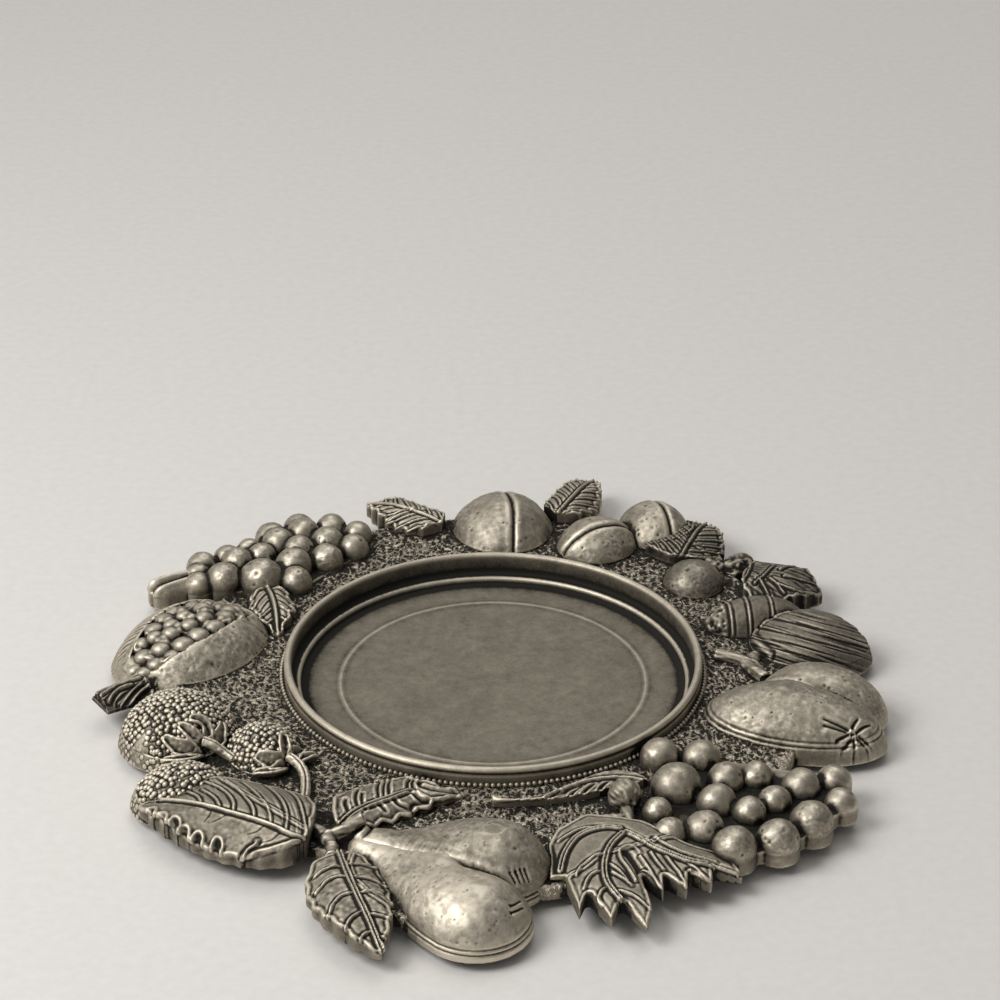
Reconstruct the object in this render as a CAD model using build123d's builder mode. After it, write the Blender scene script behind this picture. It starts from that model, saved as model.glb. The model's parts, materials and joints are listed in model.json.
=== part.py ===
from build123d import *
import os
from math import cos, radians, sin, sqrt

# Wine bottle coaster: a turned dish set in a ground plate that carries a garland of cast fruit.
# Millimetres, +Z up. The origin is on the dish's axis, on the table under the felt pad.
# An ornament's place is a distance beyond the collar and a bearing about the dish's axis, so the
# garland moves out with the collar when the well grows. Each one sits on the ground plate, and
# where it reaches past the plate's edge its skirt hangs over that edge. A piece laid later is cut
# to fit against the pieces laid before it.

# Dish and base
WELL_RADIUS = 43.4
COLLAR_WALL = 1.6
COLLAR_HEIGHT = 4.0
LIP_ROUND = 0.7
FLOOR_THICKNESS = 1.6
STEP_WIDTH = 1.9
STEP_HEIGHT = 1.6
LEDGE_WIDTH = 4.0
LEDGE_THICKNESS = 0.8
PAD_THICKNESS = 1.0
PAD_INSET = 1.5

# Ground plate: a band round the collar, a larger disc set towards the front, and two webs
PLATE_THICKNESS = 3.4
PLATE_BAND = 23.0
FRONT_BAND = 21.0
FRONT_OFFSET = 11.0
WEB_RADIUS = 14.0
SOLDER_GAP = 0.05

# Beaded wire at the collar's foot
BEAD_RADIUS = 0.5

# Pears, their twig and the leaves at the front
UPPER_PEAR_BULB = 11.4
UPPER_PEAR_NECK = 4.8
UPPER_PEAR_REACH = 30.0
UPPER_PEAR_HEIGHT = 9.0
LOWER_PEAR_BULB = 11.4
LOWER_PEAR_NECK = 5.0
LOWER_PEAR_REACH = 36.0
LOWER_PEAR_HEIGHT = 7.6
TWIG_RADIUS = 1.3
TWIG_KNUCKLE = 1.8
SMALL_LEAF_LENGTH = 32.0
SMALL_LEAF_INNER_WIDTH = 7.2
SMALL_LEAF_OUTER_WIDTH = 9.5
SMALL_LEAF_HEIGHT = 3.4
LARGE_LEAF_LENGTH = 38.0
LARGE_LEAF_OUTER_WIDTH = 8.7
LARGE_LEAF_INNER_WIDTH = 17.3
LARGE_LEAF_HEIGHT = 5.0
FEATHER_LEAF_LENGTH = 28.0
FEATHER_LEAF_INNER_WIDTH = 11.0
FEATHER_LEAF_OUTER_WIDTH = 2.8
FEATHER_LEAF_HEIGHT = 3.0

# Strawberries and their calyxes at the left
LARGE_STRAWBERRY_HALF_LENGTH = 13.4
LARGE_STRAWBERRY_RADIUS = 12.8
LARGE_STRAWBERRY_HEIGHT = 8.0
SMALL_STRAWBERRY_HALF_LENGTH = 9.6
SMALL_STRAWBERRY_RADIUS = 8.2
SMALL_STRAWBERRY_HEIGHT = 5.6
THIRD_STRAWBERRY_HALF_LENGTH = 11.0
THIRD_STRAWBERRY_RADIUS = 9.6
THIRD_STRAWBERRY_HEIGHT = 5.2
CALYX_THICKNESS = 1.2
CALYX_WAIST = 2.6
SEPALS = 5
LARGE_CALYX_REACH = 7.6
SMALL_CALYX_REACH = 6.8
STEM_RADIUS = 1.1

# Split pomegranate, its rows of seeds and its crown
POMEGRANATE_HALF_LENGTH = 21.4
POMEGRANATE_RADIUS = 17.2
POMEGRANATE_HEIGHT = 8.2
SPLIT_OUTER_WIDTH = 7.8
SPLIT_INNER_WIDTH = 7.2
SPLIT_FLOOR = 2.0
SEED_RADIUS = 2.35
SEED_PITCH = 4.1
SEED_DEPTH = 1.7
SEED_ROWS = 5
CROWN_LENGTH = 11.5
CROWN_NECK = 4.6
CROWN_MOUTH = 3.8
CROWN_HEIGHT = 3.4
CROWN_SKIRT = 0.5

# Grapes, with a leaf and a bud at the back bunch
FRONT_GRAPE_RADIUS = 3.6
BACK_GRAPE_RADIUS = 3.3
GRAPE_SEAT = 2.0
GRAPE_WEB = 1.4
GRAPE_LEAF_LENGTH = 18.0
GRAPE_LEAF_WIDTH = 5.4
GRAPE_LEAF_HEIGHT = 3.6
BUD_LENGTH = 12.8
BUD_WIDTH = 7.4
BUD_HEIGHT = 2.8
BUD_ROUND = 2.4

# Peach and plums at the back
PEACH_HALF_LENGTH = 13.6
PEACH_RADIUS = 12.6
PEACH_HEIGHT = 8.0
PEACH_LEAF_LENGTH = 22.0
PEACH_LEAF_WIDTH = 6.4
PEACH_LEAF_HEIGHT = 3.6
PLUM_HALF_LENGTH = 9.8
PLUM_RADIUS = 8.7
PLUM_HEIGHT = 6.8
PLUM_LEAF_LENGTH = 20.5
PLUM_LEAF_WIDTH = 10.0
PLUM_LEAF_HEIGHT = 3.4

# Apple, berries, leaf and nuts at the back right
APPLE_HALF_LENGTH = 7.2
APPLE_RADIUS = 7.4
APPLE_HEIGHT = 5.4
BERRY_RADIUS = 3.4
BERRY_SEAT = 0.4
ROUND_LEAF_LENGTH = 18.5
ROUND_LEAF_WIDTH = 9.4
ROUND_LEAF_HEIGHT = 4.2
ALMOND_HALF_LENGTH = 14.2
ALMOND_RADIUS = 11.2
ALMOND_HEIGHT = 7.0
ACORN_HALF_LENGTH = 11.4
ACORN_RADIUS = 6.4
ACORN_HEIGHT = 6.0

# Quinces at the right
FRONT_QUINCE_HALF_LENGTH = 20.0
FRONT_QUINCE_RADIUS = 11.0
FRONT_QUINCE_HEIGHT = 8.0
BACK_QUINCE_HALF_LENGTH = 14.4
BACK_QUINCE_RADIUS = 10.2
BACK_QUINCE_HEIGHT = 7.2

# Vine leaf, its twig and the tendril leaf at the front right
VINE_LEAF_HEIGHT = 3.6
VINE_LEAF_BARREL = 62.0
VINE_LEAF_RIDGE = 5.0
VINE_LEAF_CREST = 8.0
VINE_LEAF_REACH = 32.0
VINE_KNOB_RADIUS = 3.4
TENDRIL_HEIGHT = 1.8

# All leaves: height at the side and tip, share of the height that the base keeps, place of the crest
# along the leaf, how full the outline is near the base, depth of a tooth, and how far the edge hangs
# below the ground
LEAF_EDGE = 0.2
LEAF_BASE_SHARE = 0.7
LEAF_CREST = 0.42
LEAF_FULLNESS = 0.7
TOOTH_DEPTH = 0.9
LEAF_SKIRT = 2.2

# Fruit hang to this much above the plate's underside
SKIRT_LIFT = 0.2

# Levels, from the table up
PLATE_BOTTOM = PAD_THICKNESS + LEDGE_THICKNESS
GROUND_Z = PLATE_BOTTOM + PLATE_THICKNESS
RIM_TOP = GROUND_Z + COLLAR_HEIGHT
FLOOR_Z = PAD_THICKNESS + FLOOR_THICKNESS
COLLAR_RADIUS = WELL_RADIUS + COLLAR_WALL
LEDGE_RADIUS = COLLAR_RADIUS + LEDGE_WIDTH
GROUND = Plane.XY.offset(GROUND_Z)
GARLAND_REACH = 2 * COLLAR_RADIUS + PLATE_BAND
FRUIT_SKIRT = PLATE_THICKNESS - SKIRT_LIFT

# Alignment of a solid that hangs below its place
HANGING = (Align.CENTER, Align.CENTER, Align.MAX)

# Everything that a later piece has to fit against, by name
laid = {}


def spot(beyond, bearing, rise=0.0):
    """Point at a distance beyond the collar on a bearing about the dish's axis, above the ground."""
    reach = COLLAR_RADIUS + beyond
    return Vector(reach * cos(radians(bearing)), reach * sin(radians(bearing)), GROUND_Z + rise)


def flat(beyond, bearing):
    """The same point as a plan pair, for a sketch on the ground."""
    point = spot(beyond, bearing)
    return (point.X, point.Y)


def lie(where, heading, rise=0.0):
    """Level plane at a point, its X axis along the heading, raised or sunk from the point."""
    along = (cos(radians(heading)), sin(radians(heading)), 0)
    return Plane(origin=where + Vector(0, 0, rise), x_dir=along, z_dir=(0, 0, 1))


def boxes_meet(one, other):
    """True where two bounding boxes overlap in plan."""
    across = one.min.X < other.max.X and other.min.X < one.max.X
    return across and one.min.Y < other.max.Y and other.min.Y < one.max.Y


def settle(piece, skirt=FRUIT_SKIRT):
    """Clears what is already laid and cuts the piece off level at its skirt's foot; crumbs go."""
    box = piece.part.bounding_box()
    for neighbour in laid.values():
        if boxes_meet(box, neighbour.bounding_box()):
            add(neighbour, mode=Mode.SUBTRACT)
    with Locations(GROUND.offset(-skirt)):
        Cylinder(GARLAND_REACH, GARLAND_REACH, align=HANGING, mode=Mode.SUBTRACT)
    add(piece.solids().sort_by(SortBy.VOLUME)[-1], mode=Mode.REPLACE)


def lay(piece, name):
    """Names a finished piece, writes it and keeps it for the pieces laid after it."""
    piece.part.label = name
    laid[name] = piece.part
    export_step(piece.part, f"parts/{name}.step")


def turn_about(seat):
    """Axis of a fruit that lies along its seat plane's X axis."""
    return Axis(seat.origin, seat.x_dir)


def round_fruit(name, where, heading, half_length, radius, height):
    """Fruit with a round back turned about a level axis and upright sides below that axis."""
    seat = lie(where, heading, height - radius)
    with BuildPart() as fruit:
        with BuildSketch(seat):
            with BuildLine():
                EllipticalCenterArc((0, 0), half_length, radius, 0, arc_size=180)
                Line((-half_length, 0), (half_length, 0))
            make_face()
        revolve(axis=turn_about(seat), revolution_arc=180)
        extrude(fruit.faces().sort_by(Axis.Z)[0], amount=radius)
        settle(fruit)
    lay(fruit, name)


def pear(name, where, heading, bulb, neck, reach, height):
    """Pear turned about a level axis that points from its neck to its blunt end."""
    seat = lie(where, heading, height - bulb)
    neck_centre = neck - reach
    waist = (neck_centre / 2, (bulb + neck) / 2)
    with BuildPart() as fruit:
        with BuildSketch(seat):
            with BuildLine():
                neck_end = CenterArc((neck_centre, 0), neck, 180, -90)
                blunt_end = CenterArc((0, 0), bulb, 0, 90)
                Spline(neck_end @ 1, waist, blunt_end @ 1, tangents=[(1, 0), (1, 0)])
                Line(neck_end @ 0, blunt_end @ 0)
            make_face()
        revolve(axis=turn_about(seat))
        settle(fruit)
    lay(fruit, name)


def toothed_side(length, width, teeth):
    """Points of one side of a leaf, from base to tip: a notch and a tooth in turn."""
    points = []
    for tooth in range(teeth):
        for share, cut in ((0.25, TOOTH_DEPTH), (0.75, 0.0)):
            along = (tooth + share) / teeth
            swell = sin(radians(180 * along**LEAF_FULLNESS)) ** LEAF_FULLNESS
            points.append((length * along, max(width * swell - cut, TOOTH_DEPTH)))
    return points


def bow(base, seat, start, crest, tip):
    """Cuts the leaf being made down to an arc along it; its three points are (along, height)."""
    with BuildSketch(Plane(origin=base, x_dir=seat.x_dir, z_dir=-seat.y_dir), mode=Mode.PRIVATE) as side:
        with BuildLine():
            back = ThreePointArc(start, crest, tip)
            Polyline(back @ 1, (tip[0], -crest[1]), (start[0], -crest[1]), back @ 0)
        make_face()
    extrude(side.sketch, amount=tip[0], both=True, mode=Mode.INTERSECT)


def leaf(name, base, heading, length, left_width, right_width, teeth, height):
    """Leaf with toothed sides, its back a barrel that also falls towards the base and the tip."""
    seat = lie(base, heading, -LEAF_SKIRT)
    left = toothed_side(length, left_width, teeth)
    right = [(along, -across) for along, across in toothed_side(length, right_width, teeth)]
    middle = (left_width - right_width) / 2
    half_width = (left_width + right_width) / 2
    fall = height - LEAF_EDGE
    barrel = (half_width**2 + fall**2) / (2 * fall)
    with BuildPart() as blade:
        with BuildSketch(seat):
            with BuildLine():
                Polyline((0, 0), *left, (length, 0), *reversed(right), close=True)
            make_face()
        extrude(amount=height + LEAF_SKIRT)
        with BuildSketch(Plane(origin=base, x_dir=seat.y_dir, z_dir=seat.x_dir)):
            with Locations((middle, height - barrel)):
                Circle(barrel)
        extrude(amount=length, mode=Mode.INTERSECT)
        bow(base, seat, (0, LEAF_BASE_SHARE * height), (LEAF_CREST * length, height), (length, LEAF_EDGE))
        settle(blade, LEAF_SKIRT)
    lay(blade, name)


def berry(where, radius):
    """Berry with a round top and upright sides below its middle, added to the piece being made."""
    with Locations(where):
        Sphere(radius, arc_size1=0)
        Cylinder(radius, where.Z - PLATE_BOTTOM, align=HANGING)


def bunch(name, where, heading, grape_radius, grapes):
    """Bunch of grapes on a thin web; each grape has a place, a share of the radius and a tier."""
    seat = lie(where, heading)
    with BuildPart() as cluster:
        with BuildSketch(seat):
            for along, across, share, tier in grapes:
                with Locations((along, across)):
                    Circle(grape_radius * share / 2)
            make_hull()
        extrude(amount=GRAPE_WEB)
        for along, across, share, tier in grapes:
            berry(seat.from_local_coords(Vector(along, across, GRAPE_SEAT * tier)), grape_radius * share)
        settle(cluster)
    lay(cluster, name)


def rod(points, radius, bend):
    """Round rod along straight runs with bends of one radius, added to the piece being made."""
    with BuildLine(mode=Mode.PRIVATE) as route:
        FilletPolyline(*points, radius=bend)
    with BuildSketch(Plane(origin=route.line @ 0, z_dir=route.line % 0), mode=Mode.PRIVATE) as section:
        Circle(radius)
    sweep(section.sketch, path=route.line)


def calyx(name, fruit_seat, half_length, radius, centre, turn, reach, stem):
    """Star of sepals that hugs its fruit, with the stem that leaves its middle."""
    star = lie(Vector(centre.X, centre.Y, GROUND_Z), turn)
    outer_half_length = half_length + CALYX_THICKNESS
    tips = []
    for sepal in range(SEPALS):
        bearing = radians(sepal * 360 / SEPALS)
        valley = bearing + radians(180 / SEPALS)
        tips.append((reach * cos(bearing), reach * sin(bearing)))
        tips.append((CALYX_WAIST * cos(valley), CALYX_WAIST * sin(valley)))
    with BuildPart() as cap:
        with BuildSketch(fruit_seat):
            with BuildLine():
                EllipticalCenterArc((0, 0), outer_half_length, radius + CALYX_THICKNESS, 0, arc_size=180)
                Line((-outer_half_length, 0), (outer_half_length, 0))
            make_face()
        revolve(axis=turn_about(fruit_seat))
        with BuildSketch(star):
            with BuildLine():
                Polyline(*tips, close=True)
            make_face()
        extrude(amount=2 * radius, mode=Mode.INTERSECT)
        rod(stem, STEM_RADIUS, reach / 2)
        settle(cap)
    lay(cap, name)


os.makedirs("parts", exist_ok=True)

# Felt pad glued under the dish
with BuildPart() as felt_pad:
    with BuildSketch():
        Circle(LEDGE_RADIUS - PAD_INSET)
    extrude(amount=PAD_THICKNESS)
felt_pad.part.label = "felt_pad"
export_step(felt_pad.part, "parts/felt_pad.step")

# Turned dish: floor, stepped well, collar with a rolled lip, and the ledge that carries the plate
with BuildPart() as dish:
    with BuildSketch(Plane.XZ):
        with BuildLine():
            Polyline(
                (0, PAD_THICKNESS),
                (LEDGE_RADIUS, PAD_THICKNESS),
                (LEDGE_RADIUS, PLATE_BOTTOM),
                (COLLAR_RADIUS, PLATE_BOTTOM),
                (COLLAR_RADIUS, RIM_TOP),
                (WELL_RADIUS, RIM_TOP),
                (WELL_RADIUS, FLOOR_Z + STEP_HEIGHT),
                (WELL_RADIUS - STEP_WIDTH, FLOOR_Z + STEP_HEIGHT),
                (WELL_RADIUS - STEP_WIDTH, FLOOR_Z),
                (0, FLOOR_Z),
                close=True,
            )
        make_face()
    revolve(axis=Axis.Z)
    fillet(dish.edges().group_by(Axis.Z)[-1], radius=min(LIP_ROUND, 0.45 * COLLAR_WALL))
lay(dish, "dish")

# Ground plate, whose bore drops over the collar onto the ledge
with BuildPart() as ground_plate:
    with BuildSketch(Plane.XY.offset(PLATE_BOTTOM)):
        Circle(COLLAR_RADIUS + PLATE_BAND)
        with Locations((0, -FRONT_OFFSET)):
            Circle(COLLAR_RADIUS + FRONT_BAND)
        with Locations(flat(32.3, -100.4), flat(22.2, -82.6)):
            Circle(WEB_RADIUS)
    extrude(amount=PLATE_THICKNESS)
    with Locations((0, 0, GROUND_Z)):
        Hole(COLLAR_RADIUS + SOLDER_GAP)
lay(ground_plate, "ground_plate")

# Beaded wire in the corner between collar and ground
with BuildPart() as beaded_wire:
    with Locations((0, 0, GROUND_Z + BEAD_RADIUS)):
        Torus(COLLAR_RADIUS + SOLDER_GAP + BEAD_RADIUS, BEAD_RADIUS)
lay(beaded_wire, "beaded_wire")

# Pears at the front, with the forked twig that ties them and the leaves round them
with BuildPart() as pear_twig:
    fork = spot(28.1, -116.3, 1.2)
    with Locations(fork):
        Sphere(TWIG_KNUCKLE)
    rod([spot(26.4, -119.8, 0.8), fork, spot(23.3, -112.0, 4.8)], TWIG_RADIUS, 1.5)
    rod([fork, spot(30.4, -114.8, 1.0), spot(33.0, -113.9, 0.8)], TWIG_RADIUS, 4.0)
    settle(pear_twig)
lay(pear_twig, "pear_twig")

pear(
    "pear_upper",
    spot(28.5, -89.8),
    -20,
    UPPER_PEAR_BULB,
    UPPER_PEAR_NECK,
    UPPER_PEAR_REACH,
    UPPER_PEAR_HEIGHT,
)
leaf(
    "small_leaf",
    spot(32.3, -113.2),
    -73,
    SMALL_LEAF_LENGTH,
    SMALL_LEAF_INNER_WIDTH,
    SMALL_LEAF_OUTER_WIDTH,
    8,
    SMALL_LEAF_HEIGHT,
)
pear(
    "pear_lower",
    spot(44.4, -92.2),
    -44,
    LOWER_PEAR_BULB,
    LOWER_PEAR_NECK,
    LOWER_PEAR_REACH,
    LOWER_PEAR_HEIGHT,
)
leaf(
    "feather_leaf",
    spot(23.9, -116.8),
    27,
    FEATHER_LEAF_LENGTH,
    FEATHER_LEAF_INNER_WIDTH,
    FEATHER_LEAF_OUTER_WIDTH,
    7,
    FEATHER_LEAF_HEIGHT,
)

# Strawberries at the left, each calyx on its fruit, and the large leaf that half hides the third
large_spot, large_heading = spot(24.8, -159.9), 150
small_spot, small_heading = spot(12.6, -145.6), 110
round_fruit(
    "strawberry_large",
    large_spot,
    large_heading,
    LARGE_STRAWBERRY_HALF_LENGTH,
    LARGE_STRAWBERRY_RADIUS,
    LARGE_STRAWBERRY_HEIGHT,
)
round_fruit(
    "strawberry_small",
    small_spot,
    small_heading,
    SMALL_STRAWBERRY_HALF_LENGTH,
    SMALL_STRAWBERRY_RADIUS,
    SMALL_STRAWBERRY_HEIGHT,
)
leaf(
    "large_leaf",
    spot(32.6, -118.3),
    156,
    LARGE_LEAF_LENGTH,
    LARGE_LEAF_OUTER_WIDTH,
    LARGE_LEAF_INNER_WIDTH,
    10,
    LARGE_LEAF_HEIGHT,
)
calyx(
    "strawberry_large_calyx",
    lie(large_spot, large_heading, LARGE_STRAWBERRY_HEIGHT - LARGE_STRAWBERRY_RADIUS),
    LARGE_STRAWBERRY_HALF_LENGTH,
    LARGE_STRAWBERRY_RADIUS,
    spot(23.5, -151.8),
    15,
    LARGE_CALYX_REACH,
    [
        spot(23.5, -151.8, LARGE_STRAWBERRY_HEIGHT - 4.0),
        spot(23.2, -146.7, LARGE_STRAWBERRY_HEIGHT - 4.6),
        spot(23.4, -141.6, 0.6),
    ],
)
calyx(
    "strawberry_small_calyx",
    lie(small_spot, small_heading, SMALL_STRAWBERRY_HEIGHT - SMALL_STRAWBERRY_RADIUS),
    SMALL_STRAWBERRY_HALF_LENGTH,
    SMALL_STRAWBERRY_RADIUS,
    spot(12.3, -138.0),
    40,
    SMALL_CALYX_REACH,
    [
        spot(12.3, -138.0, SMALL_STRAWBERRY_HEIGHT - 2.8),
        spot(15.0, -130.5, 2.4),
        spot(20.9, -124.6, 0.6),
    ],
)
round_fruit(
    "strawberry_third",
    spot(33.3, -143.6),
    192,
    THIRD_STRAWBERRY_HALF_LENGTH,
    THIRD_STRAWBERRY_RADIUS,
    THIRD_STRAWBERRY_HEIGHT,
)

# Split pomegranate: two lobes of skin, the rows of seeds between them, and the crown
pomegranate_spot, pomegranate_heading = spot(21.2, 171.2), 50
pomegranate_rise = POMEGRANATE_HEIGHT - POMEGRANATE_RADIUS
pomegranate_seat = lie(pomegranate_spot, pomegranate_heading, pomegranate_rise)
with BuildPart() as split_prism:
    with BuildSketch(lie(pomegranate_spot, pomegranate_heading, SPLIT_FLOOR)):
        with BuildLine():
            near_side = ThreePointArc(
                (-POMEGRANATE_HALF_LENGTH, 0), (0, -SPLIT_INNER_WIDTH), (POMEGRANATE_HALF_LENGTH, 0)
            )
            far_side = ThreePointArc(near_side @ 1, (0, SPLIT_OUTER_WIDTH), near_side @ 0)
        make_face()
    extrude(amount=POMEGRANATE_RADIUS)
with BuildPart() as pomegranate:
    with BuildSketch(pomegranate_seat):
        with BuildLine():
            EllipticalCenterArc((0, 0), POMEGRANATE_HALF_LENGTH, POMEGRANATE_RADIUS, 0, arc_size=180)
            Line((-POMEGRANATE_HALF_LENGTH, 0), (POMEGRANATE_HALF_LENGTH, 0))
        make_face()
    revolve(axis=turn_about(pomegranate_seat))
    settle(pomegranate)
    add(split_prism.part, mode=Mode.SUBTRACT)
lay(pomegranate, "pomegranate")

core_half_length = POMEGRANATE_HALF_LENGTH - SEED_DEPTH
core_radius = POMEGRANATE_RADIUS - SEED_DEPTH
split_middle = (SPLIT_OUTER_WIDTH - SPLIT_INNER_WIDTH) / 2
seeds_in_row = int(2 * core_half_length / SEED_PITCH)
with BuildPart() as pomegranate_seeds:
    with BuildSketch(pomegranate_seat):
        with BuildLine():
            EllipticalCenterArc((0, 0), core_half_length, core_radius, 0, arc_size=180)
            Line((-core_half_length, 0), (core_half_length, 0))
        make_face()
    revolve(axis=turn_about(pomegranate_seat))
    for row in range(SEED_ROWS):
        across = split_middle + (row - (SEED_ROWS - 1) / 2) * SEED_PITCH
        for seed in range(seeds_in_row):
            along = (seed - (seeds_in_row - 1) / 2 + 0.25 * (row % 2)) * SEED_PITCH
            height_squared = core_radius**2 * (1 - (along / core_half_length) ** 2) - across**2
            if height_squared > (SPLIT_FLOOR - pomegranate_rise) ** 2:
                with Locations(pomegranate_seat.from_local_coords((along, across, sqrt(height_squared)))):
                    Sphere(SEED_RADIUS)
    add(split_prism.part, mode=Mode.INTERSECT)
lay(pomegranate_seeds, "pomegranate_seeds")

crown_seat = lie(spot(29.3, -173.8), -146, CROWN_HEIGHT - CROWN_NECK)
with BuildPart() as pomegranate_crown:
    with BuildSketch(crown_seat):
        with BuildLine():
            Polyline((0, 0), (0, CROWN_NECK), (CROWN_LENGTH, CROWN_MOUTH), (CROWN_LENGTH, 0), close=True)
        make_face()
    revolve(axis=turn_about(crown_seat))
    settle(pomegranate_crown, CROWN_SKIRT)
lay(pomegranate_crown, "pomegranate_crown")

# Grapes at the back left, with a small leaf over them and a bud at their outer end
leaf(
    "grape_leaf_back",
    spot(14.3, 148.5),
    -79,
    GRAPE_LEAF_LENGTH,
    GRAPE_LEAF_WIDTH,
    GRAPE_LEAF_WIDTH,
    5,
    GRAPE_LEAF_HEIGHT,
)
with BuildPart() as grape_bud:
    with BuildSketch(lie(spot(34.3, 154.0), 20, -FRUIT_SKIRT)):
        SlotOverall(BUD_LENGTH, BUD_WIDTH)
    extrude(amount=BUD_HEIGHT + FRUIT_SKIRT)
    fillet(grape_bud.faces().sort_by(Axis.Z)[-1].edges(), radius=min(BUD_ROUND, 0.45 * BUD_WIDTH))
    settle(grape_bud)
lay(grape_bud, "grape_bud")
bunch(
    "grapes_back",
    spot(23.5, 140.6),
    36,
    BACK_GRAPE_RADIUS,
    [
        (-11.5, 6.5, 0.95, 0.65),
        (-14.0, 4.0, 0.75, 0.65),
        (-16.5, 0.0, 0.85, 0.65),
        (-11.0, -2.0, 1.10, 0.9),
        (-4.5, 6.5, 0.90, 0.65),
        (-5.0, 1.5, 1.00, 1.2),
        (0.5, 5.5, 0.75, 1.2),
        (1.0, 1.0, 0.90, 1.2),
        (8.5, 8.5, 1.05, 0.65),
        (7.5, 4.0, 1.05, 1.05),
        (-4.0, -7.0, 1.35, 0.9),
        (5.0, -6.0, 1.15, 0.9),
        (2.0, -11.5, 1.00, 0.65),
        (16.0, 8.5, 1.00, 0.65),
        (14.5, 4.5, 1.05, 1.05),
        (9.5, -1.5, 0.95, 1.2),
        (13.0, -7.5, 1.05, 0.65),
        (17.0, -2.0, 1.05, 1.05),
        (22.0, 4.0, 1.00, 0.65),
        (21.0, -6.5, 0.95, 0.65),
        (25.5, -1.5, 0.90, 0.65),
    ],
)

# Peach, plums and their leaves at the back
round_fruit("peach", spot(17.5, 88.0), 100, PEACH_HALF_LENGTH, PEACH_RADIUS, PEACH_HEIGHT)
for side, beyond, bearing, heading in (("left", 17.0, 101.0, 145), ("right", 22.0, 77.0, 65)):
    leaf(
        f"peach_leaf_{side}",
        spot(beyond, bearing),
        heading,
        PEACH_LEAF_LENGTH,
        PEACH_LEAF_WIDTH,
        PEACH_LEAF_WIDTH,
        7,
        PEACH_LEAF_HEIGHT,
    )
for side, beyond, bearing, heading in (("outer", 26.5, 58.6, 110), ("inner", 14.0, 66.0, 25)):
    round_fruit(f"plum_{side}", spot(beyond, bearing), heading, PLUM_HALF_LENGTH, PLUM_RADIUS, PLUM_HEIGHT)
leaf(
    "plum_leaf",
    spot(16.0, 49.0),
    62,
    PLUM_LEAF_LENGTH,
    PLUM_LEAF_WIDTH,
    PLUM_LEAF_WIDTH,
    8,
    PLUM_LEAF_HEIGHT,
)

# Apple, berries, nuts and leaf at the back right
round_fruit("apple", spot(13.5, 39.2), 35, APPLE_HALF_LENGTH, APPLE_RADIUS, APPLE_HEIGHT)
with BuildPart() as berries:
    for beyond, bearing in ((25.4, 39.0), (22.2, 41.4), (28.2, 39.4)):
        berry(spot(beyond, bearing, BERRY_SEAT), BERRY_RADIUS)
    settle(berries)
lay(berries, "berries")
round_fruit("almond", spot(24.8, 8.7), -8, ALMOND_HALF_LENGTH, ALMOND_RADIUS, ALMOND_HEIGHT)
round_fruit("acorn", spot(16.2, 18.6), 10, ACORN_HALF_LENGTH, ACORN_RADIUS, ACORN_HEIGHT)
leaf(
    "round_leaf",
    spot(22.4, 33.4),
    -17,
    ROUND_LEAF_LENGTH,
    ROUND_LEAF_WIDTH,
    ROUND_LEAF_WIDTH,
    8,
    ROUND_LEAF_HEIGHT,
)

# Quinces at the right, and the forked twig that they cover at its outer end
round_fruit(
    "quince_front",
    spot(21.6, -18.8),
    -16,
    FRONT_QUINCE_HALF_LENGTH,
    FRONT_QUINCE_RADIUS,
    FRONT_QUINCE_HEIGHT,
)
round_fruit(
    "quince_back",
    spot(26.0, -9.7),
    -24,
    BACK_QUINCE_HALF_LENGTH,
    BACK_QUINCE_RADIUS,
    BACK_QUINCE_HEIGHT,
)
with BuildPart() as nut_twig:
    rod([spot(3.7, 6.2, 0.7), spot(9.0, 3.0, 0.9), spot(13.4, -5.6, 1.2)], TWIG_RADIUS, 6.0)
    rod([spot(12.0, 4.6, 0.7), spot(10.8, 1.2, 0.9), spot(12.8, -3.6, 1.0)], TWIG_RADIUS, 1.6)
    settle(nut_twig)
lay(nut_twig, "nut_twig")

# Grapes at the front right, the vine leaf under them, and the twig that carries them
bunch(
    "grapes_front",
    spot(26.7, -45.9),
    -46,
    FRONT_GRAPE_RADIUS,
    [
        (-22.0, -0.5, 1.00, 0.55),
        (-15.5, 5.0, 1.00, 0.55),
        (-11.5, -6.5, 1.30, 0.65),
        (-6.5, 2.5, 0.95, 0.65),
        (-3.0, 8.0, 0.85, 0.55),
        (-2.0, -5.0, 1.00, 0.75),
        (-8.5, -15.5, 0.75, 0.55),
        (5.0, -3.0, 0.85, 0.75),
        (5.5, 4.0, 0.85, 0.65),
        (5.5, 12.0, 1.00, 0.45),
        (8.5, 19.0, 0.90, 0.3),
        (14.5, 14.0, 0.85, 0.1),
        (15.0, 4.5, 1.10, 0.3),
        (14.5, -5.0, 1.10, 0.3),
        (10.5, -13.5, 1.10, 0.4),
        (2.5, -13.5, 1.00, 0.55),
        (-1.5, -19.0, 0.85, 0.45),
    ],
)
with BuildPart() as vine_twig:
    with Locations(spot(13.4, -63.0, 2.4)):
        Sphere(VINE_KNOB_RADIUS)
    rod([spot(13.4, -63.0, 1.6), spot(17.4, -64.6, 1.2), spot(21.6, -66.0, 0.8)], TWIG_RADIUS, 4.0)
    rod([spot(17.7, -69.8, 0.8), spot(18.4, -67.0, 0.8), spot(19.0, -65.0, 0.9)], TWIG_RADIUS, 4.0)
    settle(vine_twig)
lay(vine_twig, "vine_twig")

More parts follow.
